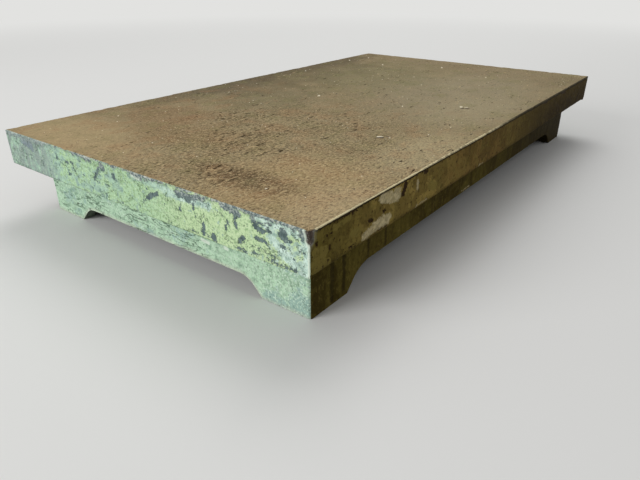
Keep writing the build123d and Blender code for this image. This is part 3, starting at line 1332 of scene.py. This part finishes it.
@dataclass(frozen=True)
class ChippedPaint:
    """Old green paint in two coats over cast iron, clean on the ends and browned by oil on the long sides."""

    iron: Rgb = (114, 132, 130)
    iron_dark: Rgb = (82, 98, 98)
    iron_worn: Rgb = (126, 136, 152)
    undercoat: Rgb = (216, 240, 226)
    undercoat_deep: Rgb = (152, 180, 166)
    undercoat_grey: Rgb = (146, 160, 154)
    undercoat_green: Rgb = (176, 208, 182)
    topcoat: Rgb = (202, 226, 174)
    topcoat_green: Rgb = (182, 214, 174)
    topcoat_deep: Rgb = (150, 182, 128)
    topcoat_fleck: Rgb = (216, 234, 192)
    skirt: Rgb = (192, 224, 192)
    skirt_deep: Rgb = (130, 162, 136)
    skirt_blue: Rgb = (146, 176, 172)
    skirt_cloud: Rgb = (108, 138, 118)
    skirt_fleck: Rgb = (212, 234, 212)
    hem: Rgb = (186, 184, 168)
    crack: Rgb = (66, 88, 70)
    oil_near: Rgb = (130, 116, 55)
    oil: Rgb = (186, 160, 88)
    # Dark oil with painted shade, for the oily side's far end
    oil_and_shade_far: Rgb = (50, 38, 15)
    oil_deep: Rgb = (94, 78, 36)
    oil_brown: Rgb = (130, 94, 54)
    oil_light: Rgb = (156, 140, 74)
    oil_chip: Rgb = (60, 42, 18)
    skirt_oil: Rgb = (102, 91, 40)
    skirt_oil_deep: Rgb = (78, 67, 27)
    pale: Rgb = (222, 236, 218)
    pale_tan: Rgb = (252, 236, 188)
    stain: Rgb = (46, 38, 20)
    facet: Rgb = (84, 74, 66)
    facet_pale: Rgb = (140, 134, 126)
    band: Rgb = (106, 118, 120)
    band_pale: Rgb = (190, 200, 190)
    worn_line: Rgb = (206, 206, 190)
    # Worn metal on the oily side's top edge, painted near white as its highlight
    worn_line_and_highlight_oily: Rgb = (255, 240, 192)
    # Painted shade: colour of the dark line along the rim's lower edge
    rim_edge_shade: Rgb = (62, 80, 62)

    def _coats(self, s: Shading, p: PaintGrain) -> Wire:
        """Colours the sound paint on the rim: topcoat, and undercoat where that has worn through.

        Args:
            s: The material's desk.
            p: The shared patterns.

        Returns:
            The colour.
        """
        mottled = s.grain(9, detail=5, roughness=0.62, shift=2.0)
        streaks = s.grain(4, detail=4, roughness=0.6, stretch=(1.0, 1.0, 2.6), shift=18.0)
        topcoat = s.field("topcoat")
        kept = s.step(topcoat + (mottled - 0.5) * 1.6 + (p.medium - 0.5) * 1.2, 0.34, 0.6)
        kept = kept * s.step(s.field("undercoat") + p.ragged * 1.6, -1.5, 1.5)
        left = s.step(s.x, 90.0, 20.0)
        greyed = s.step(topcoat, 0.4, 0.0) * s.step(streaks, 0.34, 0.54)
        under = s.mix(left, self.undercoat, self.undercoat_green)
        under = s.mix(s.step(p.medium, 0.34, 0.62), self.undercoat_deep, under)
        under = s.mix(greyed * 0.9, under, self.undercoat_grey)
        top = s.mix(left, self.topcoat, self.topcoat_green)
        top = s.mix(s.step(p.speck, 0.34, 0.56), self.topcoat_deep, top)
        flecks = s.step(s.grain(1.7, detail=2, roughness=0.6, shift=44.0), 0.55, 0.68)
        return s.layered(under, (kept * 0.9, top), (flecks * (kept * 0.35 + 0.35), self.topcoat_fleck))

    def _skirt(self, s: Shading, p: PaintGrain) -> Wire:
        """Colours the skirt, a paler and bluer green with fewer chips.

        Args:
            s: The material's desk.
            p: The shared patterns.

        Returns:
            The colour.
        """
        fleck = s.grain(2.0, detail=3, roughness=0.7, shift=27.0)
        cloudy = s.grain(30, detail=4, roughness=0.6, shift=6.0)
        soft = s.grain(9, detail=4, roughness=0.6, stretch=(1.6, 1.6, 1.0), shift=83.0)
        near = s.step(s.x, 96.0, 150.0)
        blue = s.step(cloudy + near * 0.17 + (p.medium - 0.5) * 0.35, 0.56, 0.66)
        return s.layered(
            s.mix(s.step(p.medium, 0.22, 0.6), self.skirt_deep, self.skirt),
            (blue * 0.7, self.skirt_blue),
            (s.step(s.x, 20.0, -130.0) * 0.15, self.skirt_deep),
            (s.step(fleck, 0.5, 0.62) * (near * 0.3 + 0.6), self.skirt_fleck),
            (s.step(soft, 0.48, 0.34) * (0.36 - near * 0.2), self.skirt_cloud),
            (s.step(p.speck, 0.47, 0.35) * (near * 0.16 + 0.22), self.crack),
            (s.step(s.field("hem") + (p.medium - 0.5) * 5.0, 4.0, 0.0) * 0.4, self.hem),
        )

    def _oiled(self, s: Shading, p: PaintGrain) -> Wire:
        """Colours the paint under oil, with runs that go down the side, darker towards the far end partly as
        painted shade.

        Args:
            s: The material's desk.
            p: The shared patterns.

        Returns:
            The colour.
        """
        broad = s.grain(40, detail=5, roughness=0.6, shift=8.0)
        flakes = s.grain(15, detail=4, roughness=0.6, shift=23.0)
        runs = s.grain(26, detail=5, roughness=0.6, stretch=(1.0, 1.0, 3.0), shift=5.0)
        mottled = s.grain(3.4, detail=5, roughness=0.68, stretch=(1.0, 1.0, 1.5), shift=66.0)
        calm = 1 - s.step(s.y, -60.0, 160.0) * 0.75
        browned = s.step(s.y, -175.0, -120.0) * s.step(s.y, 60.0, -40.0)
        low = s.step(s.z + (p.medium - 0.5) * 12.0, 63.0, 57.0) * s.step(s.y, 60.0, -60.0)
        green = s.step(s.field("undercoat") + (p.medium - 0.5) * 6.0, 0.5, -0.3)
        lighter = s.step(s.y, -272.0, -256.0) * s.step(s.y, -120.0, -190.0)
        rim = s.layered(
            s.mix(s.step(s.y, -330.0, -240.0), self.oil_near, self.oil),
            # Painted shade, partly oil: the rim darkens towards the far end
            (s.step(s.y, -200.0, 180.0), self.oil_and_shade_far),
            (browned * 0.5, self.oil_brown),
            (s.step(broad, 0.46, 0.5) * calm * 0.5, self.oil_deep),
            (s.step(flakes, 0.53, 0.55) * calm * 0.3, self.oil_light),
            (s.step(p.medium, 0.47, 0.36) * calm * 0.55, self.oil_deep),
            (s.step(s.z, 66.0, 90.0) * (1 - calm) * 0.7, self.oil_deep),
            (s.spots(8.0, 0.13, 0.4, shift=12.0) * 0.8, self.oil_chip),
            (low * 0.55, self.skirt_oil_deep),
            (green * 0.8, self.oil_light),
        )
        skirt = s.layered(
            s.mix(s.step(runs, 0.47, 0.53), self.skirt_oil, self.skirt_oil_deep),
            (s.step(flakes, 0.54, 0.58) * calm * 0.3, self.oil_near),
            (lighter * 0.5, self.oil_near),
            # Painted shade, partly oil stain: the skirt darkens towards the far end, under the rim and round
            # the far foot
            (s.step(s.y, -40.0, 240.0) * 0.85, self.stain),
            (s.step(p.medium, 0.48, 0.36) * 0.4, self.oil_chip),
        )
        return s.layered(
            s.mix(p.on_rim, skirt, rim),
            (s.step(mottled, 0.52, 0.66) * calm * 0.4, self.oil_light),
            (s.step(mottled, 0.46, 0.34) * calm * 0.45, self.skirt_oil_deep),
            (s.step(p.fine, 0.44, 0.26) * 0.5, self.oil_chip),
        )

    @staticmethod
    def _cracks(s: Shading, p: PaintGrain) -> Wire:
        """Draws thin broken lines and pits in the paint.

        Args:
            s: The material's desk.
            p: The shared patterns.

        Returns:
            1 on the lines and in the pits.
        """
        net = s.grain(5.5, detail=4, roughness=0.6, shift=33.0, warp=0.6)
        broken = s.step(s.grain(9, detail=3, shift=40.0), 0.5, 0.6) * p.on_rim
        lines = s.step(abs(net - 0.5), 0.022, 0.006) * broken
        flowing = s.grain(8, detail=4, roughness=0.55, stretch=(3.4, 3.4, 1.0), shift=51.0, warp=0.4)
        shown = s.step(s.grain(30, detail=2, shift=60.0), 0.38, 0.5) * (1 - p.on_rim * 0.6)
        long_lines = s.step(abs(flowing - 0.5), 0.02, 0.006) * shown * s.step(s.x, 110.0, 40.0)
        pits = s.spots(2.7, 0.19, 0.4) * s.step(p.medium, 0.46, 0.6)
        return s.greater(s.greater(lines, long_lines), pits)

    @staticmethod
    def _bare(s: Shading, p: PaintGrain) -> Wire:
        """Finds the bare iron: the strokes, small random chips and the worn band along the top edge.

        Args:
            s: The material's desk.
            p: The shared patterns.

        Returns:
            1 on iron.
        """
        sharp = s.step(s.field("iron") + p.ragged, 0.22, -0.22)
        small = s.step(s.grain(2.8, detail=4, roughness=0.65, shift=21.0), 0.665, 0.69)
        slanted = s.grain(3.2, detail=3, roughness=0.6, stretch=(2.2, 2.2, 1.0), shift=71.0)
        small = s.greater(small, s.step(slanted, 0.69, 0.72)) * (p.on_rim * 0.85 + 0.15)
        deeper = s.step(p.broad - s.step(s.x, 90.0, 120.0) * 0.12, 0.42, 0.62) * 3.6
        band = s.field("edge") + p.ragged * 1.3 - deeper - s.step(s.x, 90.0, 125.0) * 1.6
        return s.greater(s.greater(sharp, small), s.step(band, 0.7, -0.1))

    def _iron_shown(self, s: Shading, p: PaintGrain, worn: Wire) -> Wire:
        """Colours the bare iron, paler in the band along the top edge.

        Args:
            s: The material's desk.
            p: The shared patterns.
            worn: 1 where little topcoat is left.

        Returns:
            The colour.
        """
        upper = s.step(s.field("edge") + p.ragged, 7.5, 3.5)
        return s.layered(
            s.mix(s.step(p.medium, 0.35, 0.6), self.iron_dark, self.iron),
            (worn * s.step(p.speck, 0.3, 0.6), self.iron_worn),
            (upper * 0.7, s.mix(s.step(p.speck, 0.46, 0.56), self.band, self.band_pale)),
            (p.oily, self.oil_chip),
        )

    def _edge_lines(self, s: Shading, p: PaintGrain) -> tuple[tuple[Value, Value], ...]:
        """Draws the painted shade line along the rim's lower edge, the dark line under the top's edge, and
        the rubbed lines on that edge and on the skirt's lower edge; on the oily side the line on the top's
        edge is also a painted highlight.

        Args:
            s: The material's desk.
            p: The shared patterns.

        Returns:
            The share and the colour of each line.
        """
        edge, clean = s.field("edge"), 1 - p.oily
        patchy = s.step(p.medium + (p.broad - 0.5) * 0.6, 0.42, 0.56)
        # Painted shade: a dark line along the rim's lower edge, where it turns under to the ledge
        rim_edge_shade = s.step(abs(s.z - 55.4 + p.ragged * 0.2), 1.5, 0.6) * (s.step(p.broad, 0.35, 0.5) * 0.5 + 0.5)
        rim_edge_shade = rim_edge_shade * s.step(s.x, 122.0, 100.0)
        widening = s.step(s.y, -330.0, -60.0) * p.oily * 0.9
        under_line = s.step(edge + p.ragged * 0.2 - widening, 2.6, 1.4) * p.oily
        # On the oily side this line is a painted highlight on worn metal: wider by the near corner, dashed,
        # and fading towards the far end
        line = s.step(edge + p.ragged * 0.12 + p.oily * 0.1 - widening, 0.85, 0.4)
        wide = s.step(edge + p.ragged * 0.15, 1.1, 0.6) * s.step(s.y, -272.0, -300.0)
        rubbed = patchy * s.step(p.speck, 0.4, 0.55) * (s.step(s.x, -180.0, 20.0) * 0.2 + 0.4)
        dashed = s.greater(patchy * 0.5 + 0.5, s.step(s.y, -130.0, -210.0))
        dashed = dashed * (1 - s.step(s.y, -80.0, 50.0) * 0.95)
        line = s.greater(line, wide * p.oily) * (rubbed * clean + p.oily * dashed)
        hem_line = s.step(s.field("hem") + p.ragged * 0.15, 0.9, 0.3) * patchy * clean * 0.4
        hem_line = hem_line * s.step(s.z, 1.5, 3.5) * (s.step(s.x, 30.0, 70.0) * 0.75 + 0.25)
        return (
            (rim_edge_shade * (0.8 - p.oily * 0.3), s.mix(p.oily, self.rim_edge_shade, self.stain)),
            (under_line * 0.8, self.stain),
            (s.greater(line * 0.95, hem_line), s.mix(p.oily, self.worn_line, self.worn_line_and_highlight_oily)),
        )

    def make(self) -> bpy.types.Material:
        """Makes the finish, from the sound paint up to the lines along the edges and the knocked corner.

        Returns:
            The material.
        """
        s = Shading("chipped_paint")
        p = PaintGrain.drawn(s)
        cracks, bare = self._cracks(s, p), self._bare(s, p)
        worn = s.step(s.field("topcoat"), 0.3, 0.0) * (1 - p.oily)
        blotched = s.field("pale") + p.ragged * (p.oily * 0.6 + 0.3) + (p.medium - 0.5) * p.oily * 7.0
        worn_pale = s.step(p.medium, 0.62, 0.42) * 0.35 + s.step(p.speck, 0.62, 0.36) * 0.2
        pale = s.step(blotched, 0.7, -0.6) * (0.95 - p.oily * worn_pale)
        knocked = s.field("knocked") + p.ragged * 0.15
        colour = s.layered(
            s.mix(p.on_rim, self._skirt(s, p), self._coats(s, p)),
            (cracks * 0.75, self.crack),
            (p.oily, self._oiled(s, p)),
            (bare * (1 - worn * 0.35), self._iron_shown(s, p, worn)),
            (pale, s.mix(p.oily, self.pale, self.pale_tan)),
            (s.step(s.field("stain") + p.ragged * 0.7, 1.0, -0.8) * 0.7, self.stain),
            *self._edge_lines(s, p),
            (s.step(knocked, 0.3, -0.1), s.mix(s.step(p.speck, 0.5, 0.62), self.facet, self.facet_pale)),
            (s.step(abs(knocked - 0.4), 1.3, 0.6) * (0.9 - p.oily * 0.8), self.pale),
        )
        height = p.medium * 0.3 + p.speck * 0.15 + p.fine * 0.12 - bare * 0.35 - cracks * 0.25
        roughness = 0.7 - bare * 0.1 + (p.medium - 0.5) * 0.2
        return s.finish(colour, roughness, height, 0.9, specular=0.04)


@dataclass(frozen=True)
class DustyHollow:
    """Rough sand-cast iron under the top, rusted and dusty."""

    scale: Rgb = (72, 64, 54)
    rust: Rgb = (96, 66, 42)
    dust: Rgb = (108, 98, 78)
    grit: Rgb = (40, 34, 28)

    def make(self) -> bpy.types.Material:
        """Makes the finish.

        Returns:
            The material.
        """
        s = Shading("dusty_hollow")
        sand = s.grain(1.4, detail=4, roughness=0.7)
        lumps = s.grain(8, detail=4, roughness=0.6, shift=3.0)
        broad = s.grain(40, detail=4, shift=7.0)
        colour = s.layered(
            s.mix(s.step(broad, 0.4, 0.62), self.scale, self.rust),
            (s.step(lumps, 0.5, 0.75) * 0.6, self.dust),
            (s.step(sand, 0.5, 0.25) * 0.6, self.grit),
        )
        return s.finish(colour, 0.85, lumps * 0.5 + sand * 0.4, 0.9, specular=0.3)


@dataclass(frozen=True)
class LitterFinish:
    """Crumbs of paint, swarf and dirt on the top, and the painted shadows of some, in two colours that blend.
    """

    name: str
    first: Rgb
    second: Rgb

    def make(self) -> bpy.types.Material:
        """Makes the finish.

        Returns:
            The material.
        """
        s = Shading(self.name)
        colour = s.mix(s.step(s.grain(6.0, detail=3), 0.4, 0.6), self.first, self.second)
        return s.finish(colour, 0.8, s.grain(0.5, detail=2), 0.4)


class Growth(Desk):
    """A geometry tree with named inputs, whose result is turned into a plain mesh."""

    KINDS = {int: "NodeSocketInt", float: "NodeSocketFloat", bpy.types.Material: "NodeSocketMaterial"}

    def __init__(self, name: str, values: dict[str, int | float | bpy.types.Material]) -> None:
        """Makes the tree and its inputs.

        Args:
            name: Name of the tree and of the piece that it makes.
            values: The inputs by name, whose types are read from the values.
        """
        super().__init__(bpy.data.node_groups.new(name, "GeometryNodeTree"))
        self.name = name
        self.values = values
        for label, value in values.items():
            kind = self.KINDS[type(value)]
            self.tree.interface.new_socket(name=label, in_out="INPUT", socket_type=kind)
        self.tree.interface.new_socket(name="Geometry", in_out="OUTPUT", socket_type="NodeSocketGeometry")
        self.source = self.add("NodeGroupInput")

    def given(self, name: str) -> Wire:
        """Gives an input by its name."""
        return self.source.out(name)

    def combine(self, x: Value = 0.0, y: Value = 0.0, z: Value = 0.0) -> Wire:
        """Makes a vector of three values."""
        return self.add("ShaderNodeCombineXYZ", None, {0: x, 1: y, 2: z})

    def random(self, kind: str, low: Value, high: Value, seed: Value) -> Wire:
        """Draws a random value of a kind for each element."""
        inputs = {"Min": low, "Max": high, "Seed": seed}
        return self.add("FunctionNodeRandomValue", {"data_type": kind}, inputs, "Value")

    def harvest(self, geometry: Wire) -> bpy.types.Object:
        """Ends the tree, evaluates it once and keeps the result as a plain mesh.

        Args:
            geometry: What the tree has made.

        Returns:
            The finished piece, with no modifier.
        """
        real = self.add("GeometryNodeRealizeInstances", None, {"Geometry": geometry})
        dressed = {"Geometry": real, "Material": self.given("Finish")}
        dressed = self.add("GeometryNodeSetMaterial", None, dressed)
        self.add("NodeGroupOutput", None, {0: dressed})
        holder = stand(self.name, bpy.data.meshes.new(self.name))
        modifier = holder.modifiers.new(self.name, "NODES")
        modifier.node_group = self.tree
        for item in self.tree.interface.items_tree:
            if item.in_out == "INPUT":
                modifier[item.identifier] = self.values[item.name]
        depsgraph = bpy.context.evaluated_depsgraph_get()
        mesh = bpy.data.meshes.new_from_object(holder.evaluated_get(depsgraph))
        bpy.data.objects.remove(holder)
        mesh.name = self.name
        return stand(self.name, mesh)


@dataclass(frozen=True)
class RibGrid:
    """Drafted ribs under the top, rounded along their lower edge and coved into the ceiling."""

    sizes: PlateSizes
    root: float = 13 * MM
    lift: float = 32 * MM
    edge: float = 3 * MM
    into_wall: float = 7 * MM
    into_top: float = 4 * MM
    cove_reach: float = 1.4
    round_steps: int = 5

    def _section(self, desk: Growth) -> Wire:
        """Draws the rib's section, with its width along X and its height down Y, as the sweep takes it.

        Args:
            desk: The tree that the rib is built in.

        Returns:
            The section as a closed curve.
        """
        root, low = desk.given("Root") * 0.5, desk.given("Lower") * 0.5
        lift, ceiling = desk.given("Lift"), desk.given("Ceiling")
        cove, edge = desk.given("Cove"), desk.given("Edge")
        wide = root + cove * self.cove_reach
        right = [(wide, ceiling + self.into_top), (wide, ceiling), (root, ceiling), (low, lift)]
        left = [(0 - x, z) for x, z in reversed(right)]
        corners = [desk.combine(x, 0 - z) for x, z in left + right]
        place = self._by_index(desk, "VECTOR", corners)
        bend = self._by_index(desk, "FLOAT", [edge, cove, 0.0, 0.0, 0.0, 0.0, cove, edge])
        loop = desk.add("GeometryNodeMeshCircle", None, {"Vertices": len(corners)})
        loop = desk.add("GeometryNodeMeshToCurve", None, {"Mesh": loop})
        loop = desk.add("GeometryNodeSetPosition", None, {"Geometry": loop, "Position": place})
        rounding = {"Curve": loop, "Count": self.round_steps, "Radius": bend}
        return desk.add("GeometryNodeFilletCurve", {"mode": "POLY"}, rounding)

    @staticmethod
    def _by_index(desk: Growth, kind: str, values: list[Value]) -> Wire:
        """Gives each vertex its own value.

        Args:
            desk: The tree.
            kind: Type of the values.
            values: One for each vertex, in order.

        Returns:
            The value of the vertex at hand.
        """
        index = desk.add("GeometryNodeInputIndex")
        switch = desk.add("GeometryNodeIndexSwitch", {"data_type": kind}, {"Index": index})
        node = switch.socket.node
        while len(node.index_switch_items) < len(values):
            node.index_switch_items.new()
        for number, value in enumerate(values):
            desk.plug(node.inputs[number + 1], value)
        return switch

    def build(
        self, name: str, count: int, span: float, shared: float, turn: float, finish: bpy.types.Material,
    ) -> bpy.types.Object:
        """Builds one set of like ribs.

        Args:
            name: Name of the piece.
            count: Number of ribs.
            span: Clear width that they bridge.
            shared: Length that they divide into equal bays.
            turn: Angle of the set about the vertical, in radians.
            finish: Their material.

        Returns:
            The piece.
        """
        depth = self.sizes.ceiling - self.lift
        lower = self.root - 2 * depth * math.tan(self.sizes.draft)
        desk = Growth(name, {
            "Count": count, "Bay": shared / (count + 1), "Length": span + 2 * self.into_wall,
            "Root": self.root, "Lower": lower, "Lift": self.lift, "Ceiling": self.sizes.ceiling,
            "Cove": self.sizes.ceiling_edge, "Edge": self.edge, "Turn": turn, "Finish": finish,
        })
        half = desk.given("Length") * 0.5
        ends = {"Start": desk.combine(half), "End": desk.combine(0 - half)}
        path = desk.add("GeometryNodeCurvePrimitiveLine", None, ends)
        path = desk.add("GeometryNodeSetCurveNormal", {"mode": "Z_UP"}, {"Curve": path})
        swept = {"Curve": path, "Profile Curve": self._section(desk), "Fill Caps": True}
        rib = desk.add("GeometryNodeCurveToMesh", None, swept)
        first = (desk.given("Count") - 1) * desk.given("Bay") * -0.5
        row = {
            "Count": desk.given("Count"), "Start Location": desk.combine(0.0, first),
            "Offset": desk.combine(0.0, desk.given("Bay")),
        }
        posts = desk.add("GeometryNodeMeshLine", None, row)
        ribs = desk.add("GeometryNodeInstanceOnPoints", None, {"Points": posts, "Instance": rib})
        turned = {"Geometry": ribs, "Rotation": desk.combine(0.0, 0.0, desk.given("Turn"))}
        return desk.harvest(desk.add("GeometryNodeTransform", None, turned))


# Middle, length and width in millimetres, and turn in degrees
Crumb = tuple[float, float, float, float, float]


@dataclass(frozen=True)
class TopLitter:
    """Crumbs and thin flakes that lie on the top, and dark lumps painted as the shadows of some crumbs."""

    sizes: PlateSizes
    margin: float = 8 * MM
    corners: int = 12
    outline_seed: int = 12
    levels: tuple[tuple[float, float], ...] = ((-0.1, 1.0), (0.6, 0.92), (1.0, 0.6))
    slimness: tuple[float, float] = (0.35, 0.9)
    thickness: float = 0.7
    raggedness: float = 0.45
    pale_crumbs: tuple[Crumb, ...] = (
        (-42, -19, 10, 4.5, 118), (131, 35, 10, 4.4, 112), (137.4, 35.2, 6, 2, 43), (121, -133, 9, 3.2, 38),
        (131, -131, 2.6, 2.2, 120), (-12, 277, 10, 3, 115), (-167, 295, 10, 3, 120),
        (-178, 250, 10, 3.4, 122), (-105, 243, 8, 2.6, 118), (80, 237, 9, 2.6, 110),
        (-172, 117, 7, 2.4, 125), (74, -5, 5, 2, 110), (-150, -74, 4.4, 2, 120), (-90, -91, 4, 1.8, 120),
        (37, -233, 2.6, 1.9, 90), (-156, -240, 2.8, 1.7, 120), (127, -306, 2.8, 2.1, 100),
        (30, 126, 5, 1.8, 115), (-8, 175, 5, 1.8, 115), (156, -97, 3, 1.6, 100),
    )
    # Dark lumps beside pale crumbs, painted as their shadows
    dark_crumbs_and_shadows: tuple[Crumb, ...] = (
        (135.6, 28.6, 6, 4.6, 43), (141, 31.2, 7, 4.2, 43), (123.4, -136.1, 10, 4.4, 38),
        (127, -128.4, 6, 4, 110),
    )

    def lay(self, name: str, crumbs: tuple[Crumb, ...], finish: bpy.types.Material) -> bpy.types.Object:
        """Lays listed flat ragged lumps: the crumbs that can be made out in the photograph, and dark ones
        painted as the shadows of some of them.

        Args:
            name: Name of the piece.
            crumbs: For each, its middle, length and width in millimetres, and its turn in degrees.
            finish: Their material.

        Returns:
            The crumbs as one mesh.
        """
        rng = np.random.default_rng(self.outline_seed)
        count = self.corners
        angles = np.arange(count) * math.tau / count
        ring = np.arange(count)
        after = np.roll(ring, -1)
        vertices, faces = [], []
        for x, y, long, wide, turn in crumbs:
            start = len(vertices)
            reach = rng.uniform(0.7, 1.0, count)
            ahead = np.array([math.cos(math.radians(turn)), math.sin(math.radians(turn))])
            aside = np.array([-ahead[1], ahead[0]])
            outline = (np.cos(angles) * reach * long / 2)[:, None] * ahead
            outline = outline + (np.sin(angles) * reach * wide / 2)[:, None] * aside
            for level, share in self.levels:
                high = self.sizes.height - self.sizes.litter * (1 - level)
                vertices += [(*place, high) for place in ((x, y) + outline * share) * MM]
            faces += [(ring[::-1] + start).tolist(), (ring + start + 2 * count).tolist()]
            for low in (start, start + count):
                quads = [ring + low, after + low, after + low + count, ring + low + count]
                faces += np.column_stack(quads).tolist()
        mesh = bpy.data.meshes.new(name)
        mesh.from_pydata(vertices, [], faces)
        mesh.materials.append(finish)
        return stand(name, mesh)

    def scatter(
        self, name: str, finish: bpy.types.Material, density: float, smallest: float, largest: float,
        seed: int,
    ) -> bpy.types.Object:
        """Strews crumbs over the top.

        Args:
            name: Name of the piece.
            finish: Their material.
            density: Crumbs for each square metre.
            smallest: Half the length of the smallest crumb in metres.
            largest: Half the length of the largest.
            seed: Picks the places.

        Returns:
            The piece.
        """
        s = self.sizes
        desk = Growth(name, {
            "Width": s.width - 2 * self.margin, "Length": s.length - 2 * self.margin,
            "Level": s.height - s.litter, "Thickness": s.litter, "Density": density,
            "Smallest": smallest, "Largest": largest, "Seed": seed, "Finish": finish,
        })
        size = {"Size X": desk.given("Width"), "Size Y": desk.given("Length")}
        bed = desk.add("GeometryNodeMeshGrid", None, {**size, "Vertices X": 2, "Vertices Y": 2})
        strewn = {"Mesh": bed, "Density": desk.given("Density"), "Seed": desk.given("Seed")}
        points = desk.add("GeometryNodeDistributePointsOnFaces", None, strewn)
        crumb = desk.add("GeometryNodeMeshIcoSphere", None, {"Radius": 1.0, "Subdivisions": 1})
        length = desk.random("FLOAT", desk.given("Smallest"), desk.given("Largest"), desk.given("Seed"))
        width = length * desk.random("FLOAT", *self.slimness, seed=5)
        height = {0: length * self.thickness, 1: desk.given("Thickness")}
        height = desk.add("ShaderNodeMath", {"operation": "MINIMUM"}, height)
        turn = desk.random("FLOAT", 0.0, math.tau, seed=7)
        placed = {
            "Points": points, "Instance": crumb, "Rotation": desk.combine(0.0, 0.0, turn),
            "Scale": desk.combine(length, width, height),
        }
        crumbs = desk.add("GeometryNodeInstanceOnPoints", None, placed)
        crumbs = desk.add("GeometryNodeRealizeInstances", None, {"Geometry": crumbs})
        return desk.harvest(self._roughened(desk, crumbs))

    def _roughened(self, desk: Growth, crumbs: Wire) -> Wire:
        """Pulls each vertex of the crumbs about sideways, and lays them on the top.

        Args:
            desk: The tree.
            crumbs: The crumbs at height 0.

        Returns:
            The crumbs in their place.
        """
        pull = desk.random("FLOAT_VECTOR", (-1.0, -1.0, 0.0), (1.0, 1.0, 0.0), seed=11)
        pull = {0: pull, "Scale": desk.given("Smallest") * self.raggedness}
        pull = desk.add("ShaderNodeVectorMath", {"operation": "SCALE"}, pull)
        offset = desk.vector("ADD", pull, desk.combine(0.0, 0.0, desk.given("Level")))
        return desk.add("GeometryNodeSetPosition", None, {"Geometry": crumbs, "Offset": offset})


def seat(piece: bpy.types.Object) -> None:
    """Makes a finished piece stand for the casting and move with its body.

    Args:
        piece: The piece.
    """
    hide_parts(NODE)
    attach(piece, BODY)
    LOG.info("%s: %d faces", piece.name, len(piece.data.polygons))


def main() -> None:
    """Builds the studio and each piece in order, and reports them."""
    logging.basicConfig(level=logging.INFO, format="%(message)s")
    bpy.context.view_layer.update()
    Studio().build()
    sizes = PlateSizes.from_frame()
    hollow = DustyHollow().make()
    seat(CastingSkin(sizes).build([WornTop().make(), ChippedPaint().make(), hollow]))
    ribs = RibGrid(sizes)
    wide, long = sizes.hollow
    seat(ribs.build("cross_ribs", count=3, span=wide, shared=long, turn=0.0, finish=hollow))
    seat(ribs.build("long_rib", count=1, span=long, shared=wide, turn=math.pi / 2, finish=hollow))
    litter = TopLitter(sizes)
    pale = LitterFinish("pale_crumbs", (236, 226, 200), (196, 184, 154)).make()
    # This dark finish colours both the dark litter and the painted crumb shadows
    dark = LitterFinish("dark_crumbs_and_shadows", (70, 58, 42), (104, 88, 62)).make()
    seat(litter.scatter("pale_litter", pale, density=900.0, smallest=0.35 * MM, largest=0.9 * MM, seed=3))
    seat(litter.scatter("dark_litter", dark, density=2600.0, smallest=0.3 * MM, largest=0.9 * MM, seed=8))
    seat(litter.lay("larger_pale_crumbs", litter.pale_crumbs, pale))
    # Painted shadows beside the larger pale crumbs
    seat(litter.lay("crumb_shadows", litter.dark_crumbs_and_shadows, dark))


if __name__ == "__main__":
    main()
